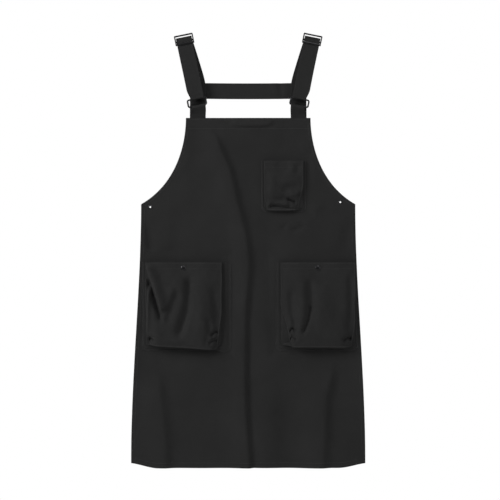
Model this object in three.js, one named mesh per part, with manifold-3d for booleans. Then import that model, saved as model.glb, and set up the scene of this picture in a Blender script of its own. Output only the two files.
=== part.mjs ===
// A black work apron of twill cloth with webbing shoulder straps, hung by its straps.
// Millimetres, +Z up, +X to the viewer's right, and the front faces -Y.
// The origin is midway between the two places where the straps rest on shoulders or a hanger.
import * as THREE from "three";
import { mergeVertices } from "three/addons/utils/BufferGeometryUtils.js";
import Module from "manifold-3d";

const wasm = await Module();
wasm.setup();

const radians = THREE.MathUtils.degToRad;

// ---- Driving dimensions ----

const GAP = 0.3; // between pieces that touch
const CLOTH = 0.8; // thickness of the apron's twill
const WEB = { width: 38, thick: 1.1 }; // shoulder webbing

// The front panel, as heights below the shoulder line and half widths.
const PANEL = {
  backY: 0.4,
  bibTop: -193,
  bibHalf: 149.5,
  corner: -400,
  cornerHalf: 257,
  hem: -1033,
  hemHalf: 281,
  hemRise: 11, // how much the hem lifts at its two ends
  hemRiseLength: 62,
};
const FACING = { depth: 30, inset: 3 }; // cloth strip behind the bib's top edge
const BINDING = { width: 10, inset: 1 }; // tape behind each armhole edge

const STRAP = {
  shoulderX: 154.5,
  lean: radians(11.5), // of the front legs, from the vertical
  foldRadius: 7.5, // inside of the fold over the shoulder
  ringDrop: 159, // from the shoulder to the ring's centre, along the strap
  loopHalf: 3.1, // half the space inside a webbing loop that holds a ring bar
  loopSlack: 0.4, // between a ring bar and the webbing that it rests on
  loopCorner: 1.2, // inside corner radius of such a loop
  split: -150.3, // height where the upper strap ends and the lower back strap begins
};
const RING = { play: 1.6, height: 21, bar: 3.4, corner: 5, bevel: 0.9 };
const ADJUSTER = {
  height: 24,
  rail: 3,
  outerBar: 2.6,
  outerThick: 2.2,
  centreBar: 4,
  centreThick: 1.6,
  ease: 0.8, // chamfers and how far the rails stand past the bars
  sideGap: 1, // between the webbing's edge and a rail
  drop: 6.4, // from the shoulder to the frame's middle
  centreDrop: 3, // from the frame's middle to the centre bar
  tail: 25, // sewn end of the webbing below the centre bar
};
const TAB = {
  inset: 1.8, // towards the middle from the ring's centre
  bottom: -215,
  straight: 4, // below the ring's lower bar, where the two layers start to close
  meet: 16, // where they meet
  sewn: 20, // where the front layer is flat behind the bib
  cut: 0.7, // taken off the loop's corners
};
const BAND = { z: -127, overhang: 19 }; // cross band behind the neck
const BACK_STRAP_X = 121; // centre of a back strap below the cross band

// Each back strap hangs slack behind the panel, turns up and is sewn inside the side corner.
const BACK_LOOP = {
  bendRadius: 8,
  endX: 213,
  endZ: -429,
  rise: radians(36), // lean of the last stretch, outward from the vertical
  settle: 34, // length over which the webbing eases into and out of the bend
};
const PATCH = { width: 42, length: 34, beyond: 4 }; // cloth patch under the sewn strap end

const EYELETS = [
  { side: "left", x: -235 },
  { side: "right", x: 221 },
];
const EYELET = {
  drop: 21.4, // below the armhole edge
  hole: 2.1,
  barrel: 2.8,
  flange: 4.6,
  thick: 0.8,
  ease: 0.4,
};

// Bellows pockets: centre, mouth height, size, and depth at the mouth and at the bottom.
const POCKETS = [
  { name: "left_pocket", x: -155, mouth: -539, width: 184, height: 200,
    mouthDepth: 6, bottomDepth: 24, snap: true },
  { name: "right_pocket", x: 167, mouth: -539, width: 180, height: 200,
    mouthDepth: 6, bottomDepth: 24, snap: true },
  { name: "chest_pocket", x: 84.5, mouth: -296, width: 95, height: 115,
    mouthDepth: 6, bottomDepth: 13, snap: false },
];
const SNAP = {
  drop: 14, // below the pocket mouth
  capRadius: 6.3,
  capThick: 2.2,
  stem: 1.3,
  socketRadius: 5.6,
  socketThick: 3,
  cavity: 2.6,
  cavityDepth: 2.4,
  postRadius: 1.8,
  engage: 1.8, // how far the post stands in the socket
  baseRadius: 5.2,
  baseThick: 0.7,
};
const ROUND = 24; // sides of a turned piece

// ---- Worked out from the driving dimensions ----

const PANEL_FRONT_Y = PANEL.backY - CLOTH;
const TAB_X = STRAP.shoulderX - STRAP.ringDrop * Math.sin(STRAP.lean) - TAB.inset;
const CENTRE_BAR_Z = -ADJUSTER.drop - ADJUSTER.centreDrop;
const RUN_Y = -(STRAP.foldRadius + WEB.thick / 2); // middle of the front leg
const RING_Y = STRAP.loopHalf - STRAP.foldRadius;
const RETURN_Y = RING_Y + STRAP.loopHalf + WEB.thick / 2; // middle of the return leg
const BACK_Y = STRAP.foldRadius + WEB.thick / 2; // middle of the back leg
const RING_WIDTH = WEB.width + 2 * (RING.bar + RING.play);
const RING_REACH = (RING.height - RING.bar) / 2; // ring centre to a bar's centre
const SOCKET_OFF = GAP + 0.1; // from the pocket front's inner face to the socket
const SEWN_Y = PANEL.backY + CLOTH + 2 * GAP + WEB.thick / 2; // strap end over its patch

// ---- Materials ----

const cloth = new THREE.MeshStandardMaterial({ color: 0x262626, roughness: 0.92 });
const webbing = new THREE.MeshStandardMaterial({ color: 0x232324, roughness: 0.85 });
const hardware = new THREE.MeshStandardMaterial({ color: 0x2a2a2c, roughness: 0.35, metalness: 0.9 });

// ---- Helpers ----

const apron = new THREE.Group();

function add(name, geometry, material, parent = apron) {
  const mesh = new THREE.Mesh(geometry, material);
  mesh.name = name;
  parent.add(mesh);
  return mesh;
}

// A flat piece whose outline is drawn as x, z and whose back face is at y = backY.
function sheet(outline, thick, backY) {
  return new THREE.ExtrudeGeometry(outline, { depth: thick, bevelEnabled: false, curveSegments: 24 })
    .rotateX(Math.PI / 2)
    .translate(0, backY, 0);
}

// A piece whose section is drawn as y, z and that runs along x, centred on x = 0.
function alongX(section, length, curveSegments = 6) {
  return new THREE.ExtrudeGeometry(section, { depth: length, bevelEnabled: false, curveSegments })
    .translate(0, 0, -length / 2)
    .applyMatrix4(new THREE.Matrix4().set(0, 0, 1, 0, 1, 0, 0, 0, 0, 1, 0, 0, 0, 0, 0, 1));
}

// A turned piece about the Y axis, from radius, y pairs that start and end on the axis or close.
function turned(points) {
  return new THREE.LatheGeometry(points.map(([r, y]) => new THREE.Vector2(r, y)), ROUND);
}

function polygon(points) {
  return new THREE.Shape(points.map(([x, y]) => new THREE.Vector2(x, y)));
}

function roundHole(x, z, radius) {
  return new THREE.Path().absarc(x, z, radius, 0, 2 * Math.PI, true);
}

function roundedBox(halfWidth, halfHeight, corner, path = new THREE.Shape()) {
  path.absarc(halfWidth - corner, halfHeight - corner, corner, 0, Math.PI / 2);
  path.absarc(corner - halfWidth, halfHeight - corner, corner, Math.PI / 2, Math.PI);
  path.absarc(corner - halfWidth, corner - halfHeight, corner, Math.PI, 1.5 * Math.PI);
  path.absarc(halfWidth - corner, corner - halfHeight, corner, 1.5 * Math.PI, 2 * Math.PI);
  return path;
}

function solid(geometry) {
  const plain = geometry.index ? geometry.toNonIndexed() : geometry.clone();
  plain.deleteAttribute("normal");
  plain.deleteAttribute("uv");
  const merged = mergeVertices(plain, 1e-4);
  return new wasm.Manifold(new wasm.Mesh({
    numProp: 3,
    vertProperties: merged.attributes.position.array,
    triVerts: new Uint32Array(merged.index.array),
  }));
}

function geometryOf(manifold) {
  const mesh = manifold.getMesh();
  return new THREE.BufferGeometry()
    .setAttribute("position", new THREE.BufferAttribute(new Float32Array(mesh.vertProperties), 3))
    .setIndex(new THREE.BufferAttribute(new Uint32Array(mesh.triVerts), 1));
}

// A flat band swept through stations, each with a centre and the direction that crosses the band.
function ribbon(stations) {
  const corners = stations.map(({ at, across }, i) => {
    const before = stations[Math.max(i - 1, 0)].at;
    const after = stations[Math.min(i + 1, stations.length - 1)].at;
    const along = after.clone().sub(before).normalize();
    const square = across.clone().addScaledVector(along, -across.dot(along)).length();
    const thick = along.clone().cross(across).normalize();
    const corner = (w, t) => at.clone()
      .addScaledVector(across, (w * WEB.width) / 2 / square)
      .addScaledVector(thick, (t * WEB.thick) / 2);
    return [corner(-1, -1), corner(1, -1), corner(1, 1), corner(-1, 1)];
  });
  const positions = corners.flat().flatMap((p) => p.toArray());
  const faces = [0, 3, 2, 0, 2, 1];
  for (let i = 0; i + 1 < corners.length; i++) {
    for (let k = 0; k < 4; k++) {
      const a = 4 * i + k;
      const b = 4 * i + ((k + 1) % 4);
      faces.push(a, b, b + 4, a, b + 4, a + 4);
    }
  }
  const last = 4 * (corners.length - 1);
  faces.push(last, last + 1, last + 2, last, last + 2, last + 3);
  return new THREE.BufferGeometry()
    .setAttribute("position", new THREE.Float32BufferAttribute(positions, 3))
    .setIndex(faces);
}

// Points of an arc in the strap's own y, z plane.
function arc(y, z, radius, from, to, steps) {
  return Array.from({ length: steps + 1 }, (_, i) => {
    const angle = radians(from + ((to - from) * i) / steps);
    return [y + radius * Math.cos(angle), z + radius * Math.sin(angle)];
  });
}

// ---- The front panel and what is sewn flat to it ----

function armhole() {
  return new THREE.CubicBezierCurve(
    new THREE.Vector2(PANEL.bibHalf, PANEL.bibTop),
    new THREE.Vector2(PANEL.bibHalf + 1, PANEL.bibTop - 97),
    new THREE.Vector2(PANEL.cornerHalf - 64, PANEL.corner + 36),
    new THREE.Vector2(PANEL.cornerHalf, PANEL.corner),
  );
}

// Height of the armhole's edge at a distance from the centre line.
function armholeAt(x) {
  const edge = armhole().getPoints(60);
  const i = edge.findIndex((p) => p.x >= Math.abs(x));
  const share = (Math.abs(x) - edge[i - 1].x) / (edge[i].x - edge[i - 1].x);
  return THREE.MathUtils.lerp(edge[i - 1].y, edge[i].y, share);
}

const eyeletZ = (x) => armholeAt(x) - EYELET.drop;

function halfOutline() {
  const side = new THREE.CubicBezierCurve(
    new THREE.Vector2(PANEL.cornerHalf, PANEL.corner),
    new THREE.Vector2(PANEL.cornerHalf, PANEL.corner - 200),
    new THREE.Vector2(PANEL.hemHalf, PANEL.hem + 230),
    new THREE.Vector2(PANEL.hemHalf, PANEL.hem + PANEL.hemRise),
  );
  const hem = new THREE.QuadraticBezierCurve(
    new THREE.Vector2(PANEL.hemHalf, PANEL.hem + PANEL.hemRise),
    new THREE.Vector2(PANEL.hemHalf - PANEL.hemRiseLength / 3, PANEL.hem),
    new THREE.Vector2(PANEL.hemHalf - PANEL.hemRiseLength, PANEL.hem),
  );
  return [armhole().getPoints(20), side.getPoints(12).slice(1), hem.getPoints(5).slice(1)].flat();
}

function panelOutline() {
  const right = halfOutline();
  const left = right.map((p) => new THREE.Vector2(-p.x, p.y)).reverse();
  const outline = new THREE.Shape([...right, ...left].reverse());
  for (const { x } of EYELETS) outline.holes.push(roundHole(x, eyeletZ(x), EYELET.barrel + GAP));
  for (const p of POCKETS.filter((q) => q.snap)) {
    outline.holes.push(roundHole(p.x, p.mouth - SNAP.drop, SNAP.stem + GAP));
  }
  return outline;
}

function addPanel() {
  add("front_panel", sheet(panelOutline(), CLOTH, PANEL.backY), cloth);

  // The facing closes over the tabs, which are two webbing layers thick.
  const half = PANEL.bibHalf - FACING.inset;
  const top = PANEL.bibTop - 1;
  const facing = polygon([[-half, top], [half, top], [half, top - FACING.depth], [-half, top - FACING.depth]]);
  add("bib_top_facing", sheet(facing, CLOTH, PANEL.backY + 2 * GAP + 2 * WEB.thick + CLOTH), cloth);
}

function addBinding(side) {
  const edge = armhole();
  const outer = [];
  const inner = [];
  for (let i = 5; i <= 20; i++) {
    const t = (i / 20) * 0.985;
    const p = edge.getPoint(t);
    const d = edge.getTangent(t);
    const inward = new THREE.Vector2(d.y, -d.x);
    outer.push(p.clone().addScaledVector(inward, BINDING.inset));
    inner.push(p.clone().addScaledVector(inward, BINDING.inset + BINDING.width));
  }
  const outline = polygon([...outer, ...inner.reverse()].map((p) => [side * p.x, p.y]));
  const name = side < 0 ? "armhole_binding_left" : "armhole_binding_right";
  add(name, sheet(outline, CLOTH, PANEL.backY + GAP + CLOTH), cloth);
}

// ---- Straps, rings and adjusters ----

// A group whose x runs across a front leg and whose -z runs down it, with its origin at the shoulder.
function strapFrame(side) {
  const frame = new THREE.Group();
  frame.position.set(side * STRAP.shoulderX, 0, 0);
  frame.rotation.y = side * STRAP.lean;
  apron.add(frame);
  frame.updateMatrixWorld(true);
  return frame;
}

// The upper strap: up from its sewn end's level, round the ring bar, over the shoulder, down the back.
function upperStrap(side, frame) {
  const corner = STRAP.loopCorner + WEB.thick / 2;
  const barZ = RING_REACH - STRAP.ringDrop;
  const floor = barZ - RING.bar / 2 - STRAP.loopSlack - WEB.thick / 2;
  const leg = [
    [RETURN_Y, CENTRE_BAR_Z - ADJUSTER.height / 4],
    [RETURN_Y, (floor + CENTRE_BAR_Z) / 2],
    ...arc(RETURN_Y - corner, floor + corner, corner, 0, -90, 4),
    ...arc(RUN_Y + corner, floor + corner, corner, -90, -180, 4),
    [RUN_Y, (floor + CENTRE_BAR_Z) / 2],
    ...arc(0, -STRAP.foldRadius, -RUN_Y, 180, 0, 12),
  ];
  const across = new THREE.Vector3(1, 0, 0).applyEuler(frame.rotation);
  const stations = leg.map(([y, z]) => ({ at: frame.localToWorld(new THREE.Vector3(0, y, z)), across }));

  // The back leg leans in further than the front leg, then straightens where the cross band holds it.
  const foldEnd = stations.at(-1).at;
  const back = new THREE.CatmullRomCurve3([
    foldEnd,
    new THREE.Vector3(side * 147.6, BACK_Y, -24),
    new THREE.Vector3(side * 135, BACK_Y, -64),
    new THREE.Vector3(side * (BACK_STRAP_X + 2.5), BACK_Y, -104),
    new THREE.Vector3(side * BACK_STRAP_X, BACK_Y, BAND.z),
    new THREE.Vector3(side * BACK_STRAP_X, BACK_Y, STRAP.split),
  ]);
  for (const at of back.getPoints(14).slice(1)) {
    const down = (foldEnd.z - at.z) / (foldEnd.z - STRAP.split);
    const tilt = Math.cos(down * Math.PI / 2) * (STRAP.lean + 0.3 * Math.sin(down * Math.PI));
    stations.push({ at, across: new THREE.Vector3(Math.cos(tilt), 0, -side * Math.sin(tilt)) });
  }
  return ribbon(stations);
}

// Straight down, round a slanting bend, and up to the corner. The webbing's crosswise lines
// stay parallel to the bend's axis while it turns, so it bends without stretching.
function lowerBackStrap(side) {
  const { bendRadius, rise, settle } = BACK_LOOP;
  const turn = rise / 2;
  const axis = new THREE.Vector3(Math.cos(turn), 0, -Math.sin(turn));
  const below = new THREE.Vector3(-Math.sin(turn), 0, -Math.cos(turn));
  const up = new THREE.Vector3(Math.sin(rise), 0, Math.cos(rise));
  const level = new THREE.Vector3(1, 0, 0);
  const square = new THREE.Vector3(Math.cos(rise), 0, -Math.sin(rise));
  const shift = axis.clone().multiplyScalar(bendRadius * Math.PI * Math.tan(turn));
  const reach = (BACK_LOOP.endX - BACK_STRAP_X - shift.x) / up.x;
  const bendEnd = new THREE.Vector3(BACK_LOOP.endX, SEWN_Y, BACK_LOOP.endZ).addScaledVector(up, -reach);
  const bendStart = bendEnd.clone().sub(shift).add(new THREE.Vector3(0, 2 * bendRadius, 0));

  const stations = [];
  const top = STRAP.split - GAP;
  for (let i = 0; i <= 16; i++) {
    const z = THREE.MathUtils.lerp(top, bendStart.z, i / 16);
    const y = THREE.MathUtils.lerp(BACK_Y, bendStart.y, THREE.MathUtils.smoothstep(i / 16, 0.1, 1));
    const near = THREE.MathUtils.smoothstep(z, bendStart.z, bendStart.z + settle);
    stations.push({ at: new THREE.Vector3(BACK_STRAP_X, y, z), across: axis.clone().lerp(level, near) });
  }
  for (let i = 1; i <= 12; i++) {
    const angle = (Math.PI * i) / 12;
    const at = bendStart.clone()
      .addScaledVector(shift, i / 12)
      .addScaledVector(below, bendRadius * Math.sin(angle));
    at.y += bendRadius * (Math.cos(angle) - 1);
    stations.push({ at, across: axis });
  }
  for (let i = 1; i <= 6; i++) {
    const far = Math.min((reach * i) / 6 / settle, 1);
    stations.push({
      at: bendEnd.clone().addScaledVector(up, (reach * i) / 6),
      across: axis.clone().lerp(square, far),
    });
  }
  const mirrored = (v) => new THREE.Vector3(side * v.x, v.y, v.z);
  return ribbon(stations.map(({ at, across }) => ({ at: mirrored(at), across: mirrored(across) })));
}

function ring() {
  const outline = roundedBox(RING_WIDTH / 2, RING.height / 2, RING.corner);
  const inside = roundedBox(
    RING_WIDTH / 2 - RING.bar, RING.height / 2 - RING.bar, RING.corner - RING.bar, new THREE.Path());
  outline.holes.push(inside);
  return new THREE.ExtrudeGeometry(outline, {
    depth: RING.bar - 2 * RING.bevel,
    bevelThickness: RING.bevel,
    bevelSize: RING.bevel,
    bevelOffset: -RING.bevel,
    bevelSegments: 2,
    curveSegments: 5,
  })
    .rotateX(Math.PI / 2)
    .translate(0, RING.bar / 2 - RING.bevel, 0);
}

// The adjuster: two outer bars before the webbing, a centre bar behind it, and two rails.
function adjuster() {
  const inner = WEB.width / 2 + ADJUSTER.sideGap;
  const reach = (ADJUSTER.height - ADJUSTER.outerBar) / 2;
  const outerBack = RUN_Y - WEB.thick / 2 - GAP;
  const outerFront = outerBack - ADJUSTER.outerThick;
  const centreFront = RUN_Y + 1.5 * WEB.thick + 2 * GAP;
  const centreBack = centreFront + ADJUSTER.centreThick;
  const bar = (z, front, thick, tall) =>
    solid(alongX(roundedBox(thick / 2, tall / 2, Math.min(thick, tall) / 2.2), 2 * inner + ADJUSTER.rail, 3)
      .translate(0, front + thick / 2, z));
  const { ease } = ADJUSTER;
  const half = ADJUSTER.height / 2;
  const heel = centreBack + ease / 2;
  const rail = polygon([
    [outerFront, ease - half], [outerFront + ease, -half], [outerBack, -half], [outerBack + ease / 2, ease - half],
    [heel, -ADJUSTER.centreDrop - ADJUSTER.centreBar], [heel, -ADJUSTER.centreDrop + ADJUSTER.centreBar],
    [outerBack + ease / 2, half - ease], [outerBack, half], [outerFront + ease, half], [outerFront, half - ease],
  ]);
  let frame = bar(-ADJUSTER.centreDrop, centreFront, ADJUSTER.centreThick, ADJUSTER.centreBar)
    .add(bar(reach, outerFront, ADJUSTER.outerThick, ADJUSTER.outerBar))
    .add(bar(-reach, outerFront, ADJUSTER.outerThick, ADJUSTER.outerBar));
  for (const side of [-1, 1]) {
    frame = frame.add(solid(alongX(rail, ADJUSTER.rail).translate(side * (inner + ADJUSTER.rail / 2), 0, 0)));
  }
  return geometryOf(frame);
}

// The webbing's sewn end, looped round the adjuster's centre bar.
function strapEnd() {
  const y = RUN_Y + 1.5 * WEB.thick + 2 * GAP + ADJUSTER.centreThick / 2;
  const innerY = ADJUSTER.centreThick / 2 + GAP;
  const innerZ = ADJUSTER.centreBar / 2 + GAP;
  const outerY = innerY + WEB.thick;
  const outerZ = innerZ + WEB.thick;
  const waist = outerZ + 4; // where the two layers are flat together
  const section = polygon([
    [-outerY, 0], [-outerY, innerZ], [-innerY, outerZ], [innerY, outerZ], [outerY, innerZ], [outerY, -innerZ],
    [WEB.thick, -waist], [WEB.thick, -ADJUSTER.tail], [-WEB.thick, -ADJUSTER.tail],
    [-WEB.thick, -waist], [-outerY, -innerZ],
  ].map(([a, b]) => [y + a, b]));
  section.holes.push(new THREE.Path([
    [-innerY, innerZ], [-innerY, -innerZ], [0, -outerZ - 1], [innerY, -innerZ], [innerY, innerZ],
  ].map(([a, b]) => new THREE.Vector2(y + a, b))));
  return alongX(section, WEB.width);
}

// The bib's tab: a webbing loop over the ring's lower bar, sewn together behind the bib's top edge.
function tab(side, frame) {
  const barZ = -STRAP.ringDrop - RING_REACH;
  const roof = RING.bar / 2 + STRAP.loopSlack;
  const inner = STRAP.loopHalf;
  const outer = inner + WEB.thick;
  const top = roof + WEB.thick;
  const { straight, meet, sewn, cut } = TAB;
  const front = PANEL.backY + GAP - RING_Y;
  const back = front + 2 * WEB.thick;
  const foot = TAB.bottom - 2 * WEB.width; // past the end, which is then cut square
  const closing = (meet - straight) / (sewn - straight);
  const join = (THREE.MathUtils.lerp(-outer, front, closing) + THREE.MathUtils.lerp(outer, back, closing)) / 2;
  const section = polygon([
    [-outer, roof - cut], [-outer + cut, top - cut], [-outer + 2 * cut, top],
    [outer - 2 * cut, top], [outer - cut, top - cut], [outer, roof - cut],
    [outer, -straight], [back, -sewn], [back, foot - barZ], [front, foot - barZ],
    [front, -sewn], [-outer, -straight],
  ]);
  section.holes.push(new THREE.Path([
    [-inner, roof - cut], [-inner, -straight], [join, -meet], [inner, -straight], [inner, roof - cut],
    [inner - cut, roof], [-inner + cut, roof],
  ].map(([a, b]) => new THREE.Vector2(a, b))));
  const loop = alongX(section, 2 * WEB.width)
    .translate(0, RING_Y, barZ)
    .applyMatrix4(frame.matrixWorld);
  const height = STRAP.ringDrop; // reaches above the ring
  const trim = new THREE.BoxGeometry(WEB.width, height, height)
    .translate(side * TAB_X, 0, TAB.bottom + height / 2);
  return geometryOf(solid(loop).intersect(solid(trim)));
}

function addStrapSide(side) {
  const name = side < 0 ? "left" : "right";
  const frame = strapFrame(side);
  add(`shoulder_strap_${name}`, upperStrap(side, frame), webbing);
  add(`back_strap_${name}`, lowerBackStrap(side), webbing);
  add(`bib_tab_${name}`, tab(side, frame), webbing);
  add(`ring_${name}`, ring(), hardware, frame).position.set(0, RING_Y, -STRAP.ringDrop);
  add(`adjuster_${name}`, adjuster(), hardware, frame).position.z = -ADJUSTER.drop;
  add(`strap_end_${name}`, strapEnd(), webbing, frame).position.z = CENTRE_BAR_Z;
}

function addBand() {
  const length = 2 * (BACK_STRAP_X + BAND.overhang);
  const y = BACK_Y + WEB.thick + GAP;
  add("cross_back_band", new THREE.BoxGeometry(length, WEB.thick, WEB.width), webbing).position.set(0, y, BAND.z);
}

// The patch lies along the strap's last stretch, under its sewn end.
function addPatch(side) {
  const patch = new THREE.BoxGeometry(PATCH.width, CLOTH, PATCH.length)
    .translate(0, 0, PATCH.beyond - PATCH.length / 2)
    .rotateY(side * BACK_LOOP.rise)
    .translate(side * BACK_LOOP.endX, PANEL.backY + GAP + CLOTH / 2, BACK_LOOP.endZ);
  add(side < 0 ? "corner_patch_left" : "corner_patch_right", patch, cloth);
}

// ---- Eyelets ----

function addEyelet({ side, x }) {
  const front = PANEL_FRONT_Y - GAP;
  const back = PANEL.backY + GAP + EYELET.thick;
  const { hole, barrel, flange, thick, ease } = EYELET;
  const shell = turned([
    [hole, back], [hole, front - thick + ease], [hole + ease, front - thick],
    [flange - ease, front - thick], [flange, front], [barrel, front], [barrel, back], [hole, back],
  ]);
  const washer = turned([
    [barrel + GAP, back], [barrel + GAP, back - thick], [flange, back - thick],
    [flange - ease, back], [barrel + GAP, back],
  ]);
  const z = eyeletZ(x);
  add(`eyelet_${side}`, shell, hardware).position.set(x, 0, z);
  add(`eyelet_washer_${side}`, washer, hardware).position.set(x, 0, z);
}

// ---- Pockets and their snaps ----

function pocketSlope(p) {
  return Math.atan2(p.bottomDepth - p.mouthDepth, p.height);
}

// The front leans in from its bottom edge, where it hinges as the pocket opens.
function addPocketFront(p) {
  const hinge = new THREE.Group();
  hinge.position.set(p.x, PANEL_FRONT_Y - p.bottomDepth, p.mouth - p.height);
  hinge.rotation.x = -pocketSlope(p);
  apron.add(hinge);
  const tall = p.height / Math.cos(pocketSlope(p));
  const outline = polygon([[-p.width / 2, 0], [p.width / 2, 0], [p.width / 2, tall], [-p.width / 2, tall]]);
  const snapZ = tall - SNAP.drop / Math.cos(pocketSlope(p));
  if (p.snap) outline.holes.push(roundHole(0, snapZ, SNAP.stem + GAP));
  add(`${p.name}_front`, sheet(outline, CLOTH, 0), cloth, hinge);
  if (!p.snap) return;

  const face = -CLOTH - GAP;
  const cap = turned([
    [0, GAP], [SNAP.stem, GAP], [SNAP.stem, face], [SNAP.capRadius, face],
    [SNAP.capRadius - 0.2, face - 0.9], [SNAP.capRadius - 1.6, face - 0.75 * SNAP.capThick],
    [SNAP.capRadius / 2, face - 0.95 * SNAP.capThick], [0, face - SNAP.capThick],
  ].reverse());
  add(`${p.name}_snap_cap`, cap, hardware, hinge).position.z = snapZ;
  const inside = SOCKET_OFF;
  const socket = turned([
    [0, inside + SNAP.socketThick - SNAP.cavityDepth], [SNAP.cavity, inside + SNAP.socketThick - SNAP.cavityDepth],
    [SNAP.cavity, inside + SNAP.socketThick], [SNAP.socketRadius - 1.2, inside + SNAP.socketThick],
    [SNAP.socketRadius, inside + 0.9], [SNAP.socketRadius, inside], [SNAP.stem + GAP, inside],
    [SNAP.stem + GAP, inside + 0.2], [0, inside + 0.2],
  ].reverse());
  add(`${p.name}_snap_socket`, socket, hardware, hinge).position.z = snapZ;
}

// The stud half is fixed through the front panel: a post in front, a closing disc behind.
function addSnapStud(p) {
  const front = PANEL_FRONT_Y - GAP;
  const snapDepth = p.mouthDepth + SNAP.drop * Math.tan(pocketSlope(p));
  const postHeight = snapDepth - GAP - SOCKET_OFF - SNAP.socketThick + SNAP.engage;
  const stud = turned([
    [0, PANEL.backY], [SNAP.stem, PANEL.backY], [SNAP.stem, front], [SNAP.baseRadius, front],
    [SNAP.baseRadius, front - SNAP.baseThick], [SNAP.postRadius - 0.3, front - SNAP.baseThick],
    [SNAP.postRadius, front - postHeight + 0.6], [SNAP.postRadius - 0.5, front - postHeight],
    [0, front - postHeight],
  ].reverse());
  const z = p.mouth - SNAP.drop;
  add(`${p.name}_snap_stud`, stud, hardware).position.set(p.x, 0, z);
  const back = PANEL.backY + GAP;
  const disc = turned([
    [0, back], [SNAP.baseRadius, back], [SNAP.baseRadius - 0.4, back + 1], [0, back + 1],
  ]);
  add(`${p.name}_snap_back`, disc, hardware).position.set(p.x, 0, z);
}

// Three flat gusset walls close the pocket between the panel and its front.
function addGusset(p) {
  const base = PANEL_FRONT_Y - GAP;
  const bottom = p.mouth - p.height;
  const frontAt = (z) => PANEL_FRONT_Y + GAP / Math.cos(pocketSlope(p))
    - (p.mouthDepth + (p.bottomDepth - p.mouthDepth) * ((p.mouth - z) / p.height));
  const floorTop = bottom + GAP + CLOTH;
  const wall = polygon([
    [base, floorTop + GAP], [base, p.mouth - 1], [frontAt(p.mouth - 1), p.mouth - 1],
    [frontAt(floorTop + GAP), floorTop + GAP],
  ]);
  for (const [end, at] of [["gusset_left", -1], ["gusset_right", 1]]) {
    add(`${p.name}_${end}`, alongX(wall, CLOTH), cloth).position.x = p.x + (at * (p.width - CLOTH)) / 2;
  }
  const floor = polygon([
    [base, bottom + GAP], [base, floorTop], [frontAt(floorTop), floorTop], [frontAt(bottom + GAP), bottom + GAP],
  ]);
  add(`${p.name}_gusset_bottom`, alongX(floor, p.width), cloth).position.x = p.x;
}

// ---- The whole apron ----

addPanel();
for (const side of [-1, 1]) {
  addBinding(side);
  addStrapSide(side);
  addPatch(side);
}
addBand();
EYELETS.forEach(addEyelet);
for (const p of POCKETS) {
  addPocketFront(p);
  addGusset(p);
  if (p.snap) addSnapStud(p);
}

export default apron;
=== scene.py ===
"""A long black bib apron of cotton twill, hanging by its webbing shoulder straps."""

import math

import bmesh
import bpy
import numpy as np
from bpy.props import FloatProperty, PointerProperty, StringProperty
from bpy.types import Operator, Panel, PropertyGroup
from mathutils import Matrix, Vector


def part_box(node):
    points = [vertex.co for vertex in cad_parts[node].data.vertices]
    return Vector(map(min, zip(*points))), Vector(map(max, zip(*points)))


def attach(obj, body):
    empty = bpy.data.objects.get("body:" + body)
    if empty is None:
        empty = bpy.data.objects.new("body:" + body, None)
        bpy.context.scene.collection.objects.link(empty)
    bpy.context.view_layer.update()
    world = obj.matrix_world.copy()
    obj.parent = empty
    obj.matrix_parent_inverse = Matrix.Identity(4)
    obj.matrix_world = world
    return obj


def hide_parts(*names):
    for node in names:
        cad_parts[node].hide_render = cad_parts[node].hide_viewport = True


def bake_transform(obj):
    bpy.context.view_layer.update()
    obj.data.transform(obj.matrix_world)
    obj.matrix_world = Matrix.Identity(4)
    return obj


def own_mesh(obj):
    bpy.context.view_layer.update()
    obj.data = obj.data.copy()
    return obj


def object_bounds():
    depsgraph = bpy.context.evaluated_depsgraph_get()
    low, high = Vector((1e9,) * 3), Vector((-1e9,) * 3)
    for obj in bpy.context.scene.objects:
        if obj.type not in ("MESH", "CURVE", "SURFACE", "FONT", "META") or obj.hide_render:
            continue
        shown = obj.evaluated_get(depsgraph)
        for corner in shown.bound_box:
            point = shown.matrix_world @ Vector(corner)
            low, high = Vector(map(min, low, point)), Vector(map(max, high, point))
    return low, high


bl_info = {
    "name": "Bib Apron",
    "version": (1, 0, 0),
    "blender": (4, 5, 0),
    "location": "3D View > Sidebar > Apron",
    "description": "Builds a twill bib apron with webbing straps, bellows pockets and metal trim",
    "category": "Add Mesh",
}

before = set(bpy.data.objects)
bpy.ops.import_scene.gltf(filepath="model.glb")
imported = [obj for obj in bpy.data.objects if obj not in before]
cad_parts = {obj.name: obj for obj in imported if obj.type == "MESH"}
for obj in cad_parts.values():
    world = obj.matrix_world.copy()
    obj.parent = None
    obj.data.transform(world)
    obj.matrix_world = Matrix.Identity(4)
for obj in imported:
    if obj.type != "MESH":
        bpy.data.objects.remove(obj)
CAD_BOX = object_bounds()

# All the making is in millimetres; meshes are scaled to metres as they are stored.
MM = 0.001


def node_box(name):
    """Low and high corners of a CAD node, in millimetres."""
    low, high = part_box(name)
    return np.array(low) / MM, np.array(high) / MM


PANEL_LOW, PANEL_HIGH = node_box("front_panel")


# ---------------------------------------------------------------- settings


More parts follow.
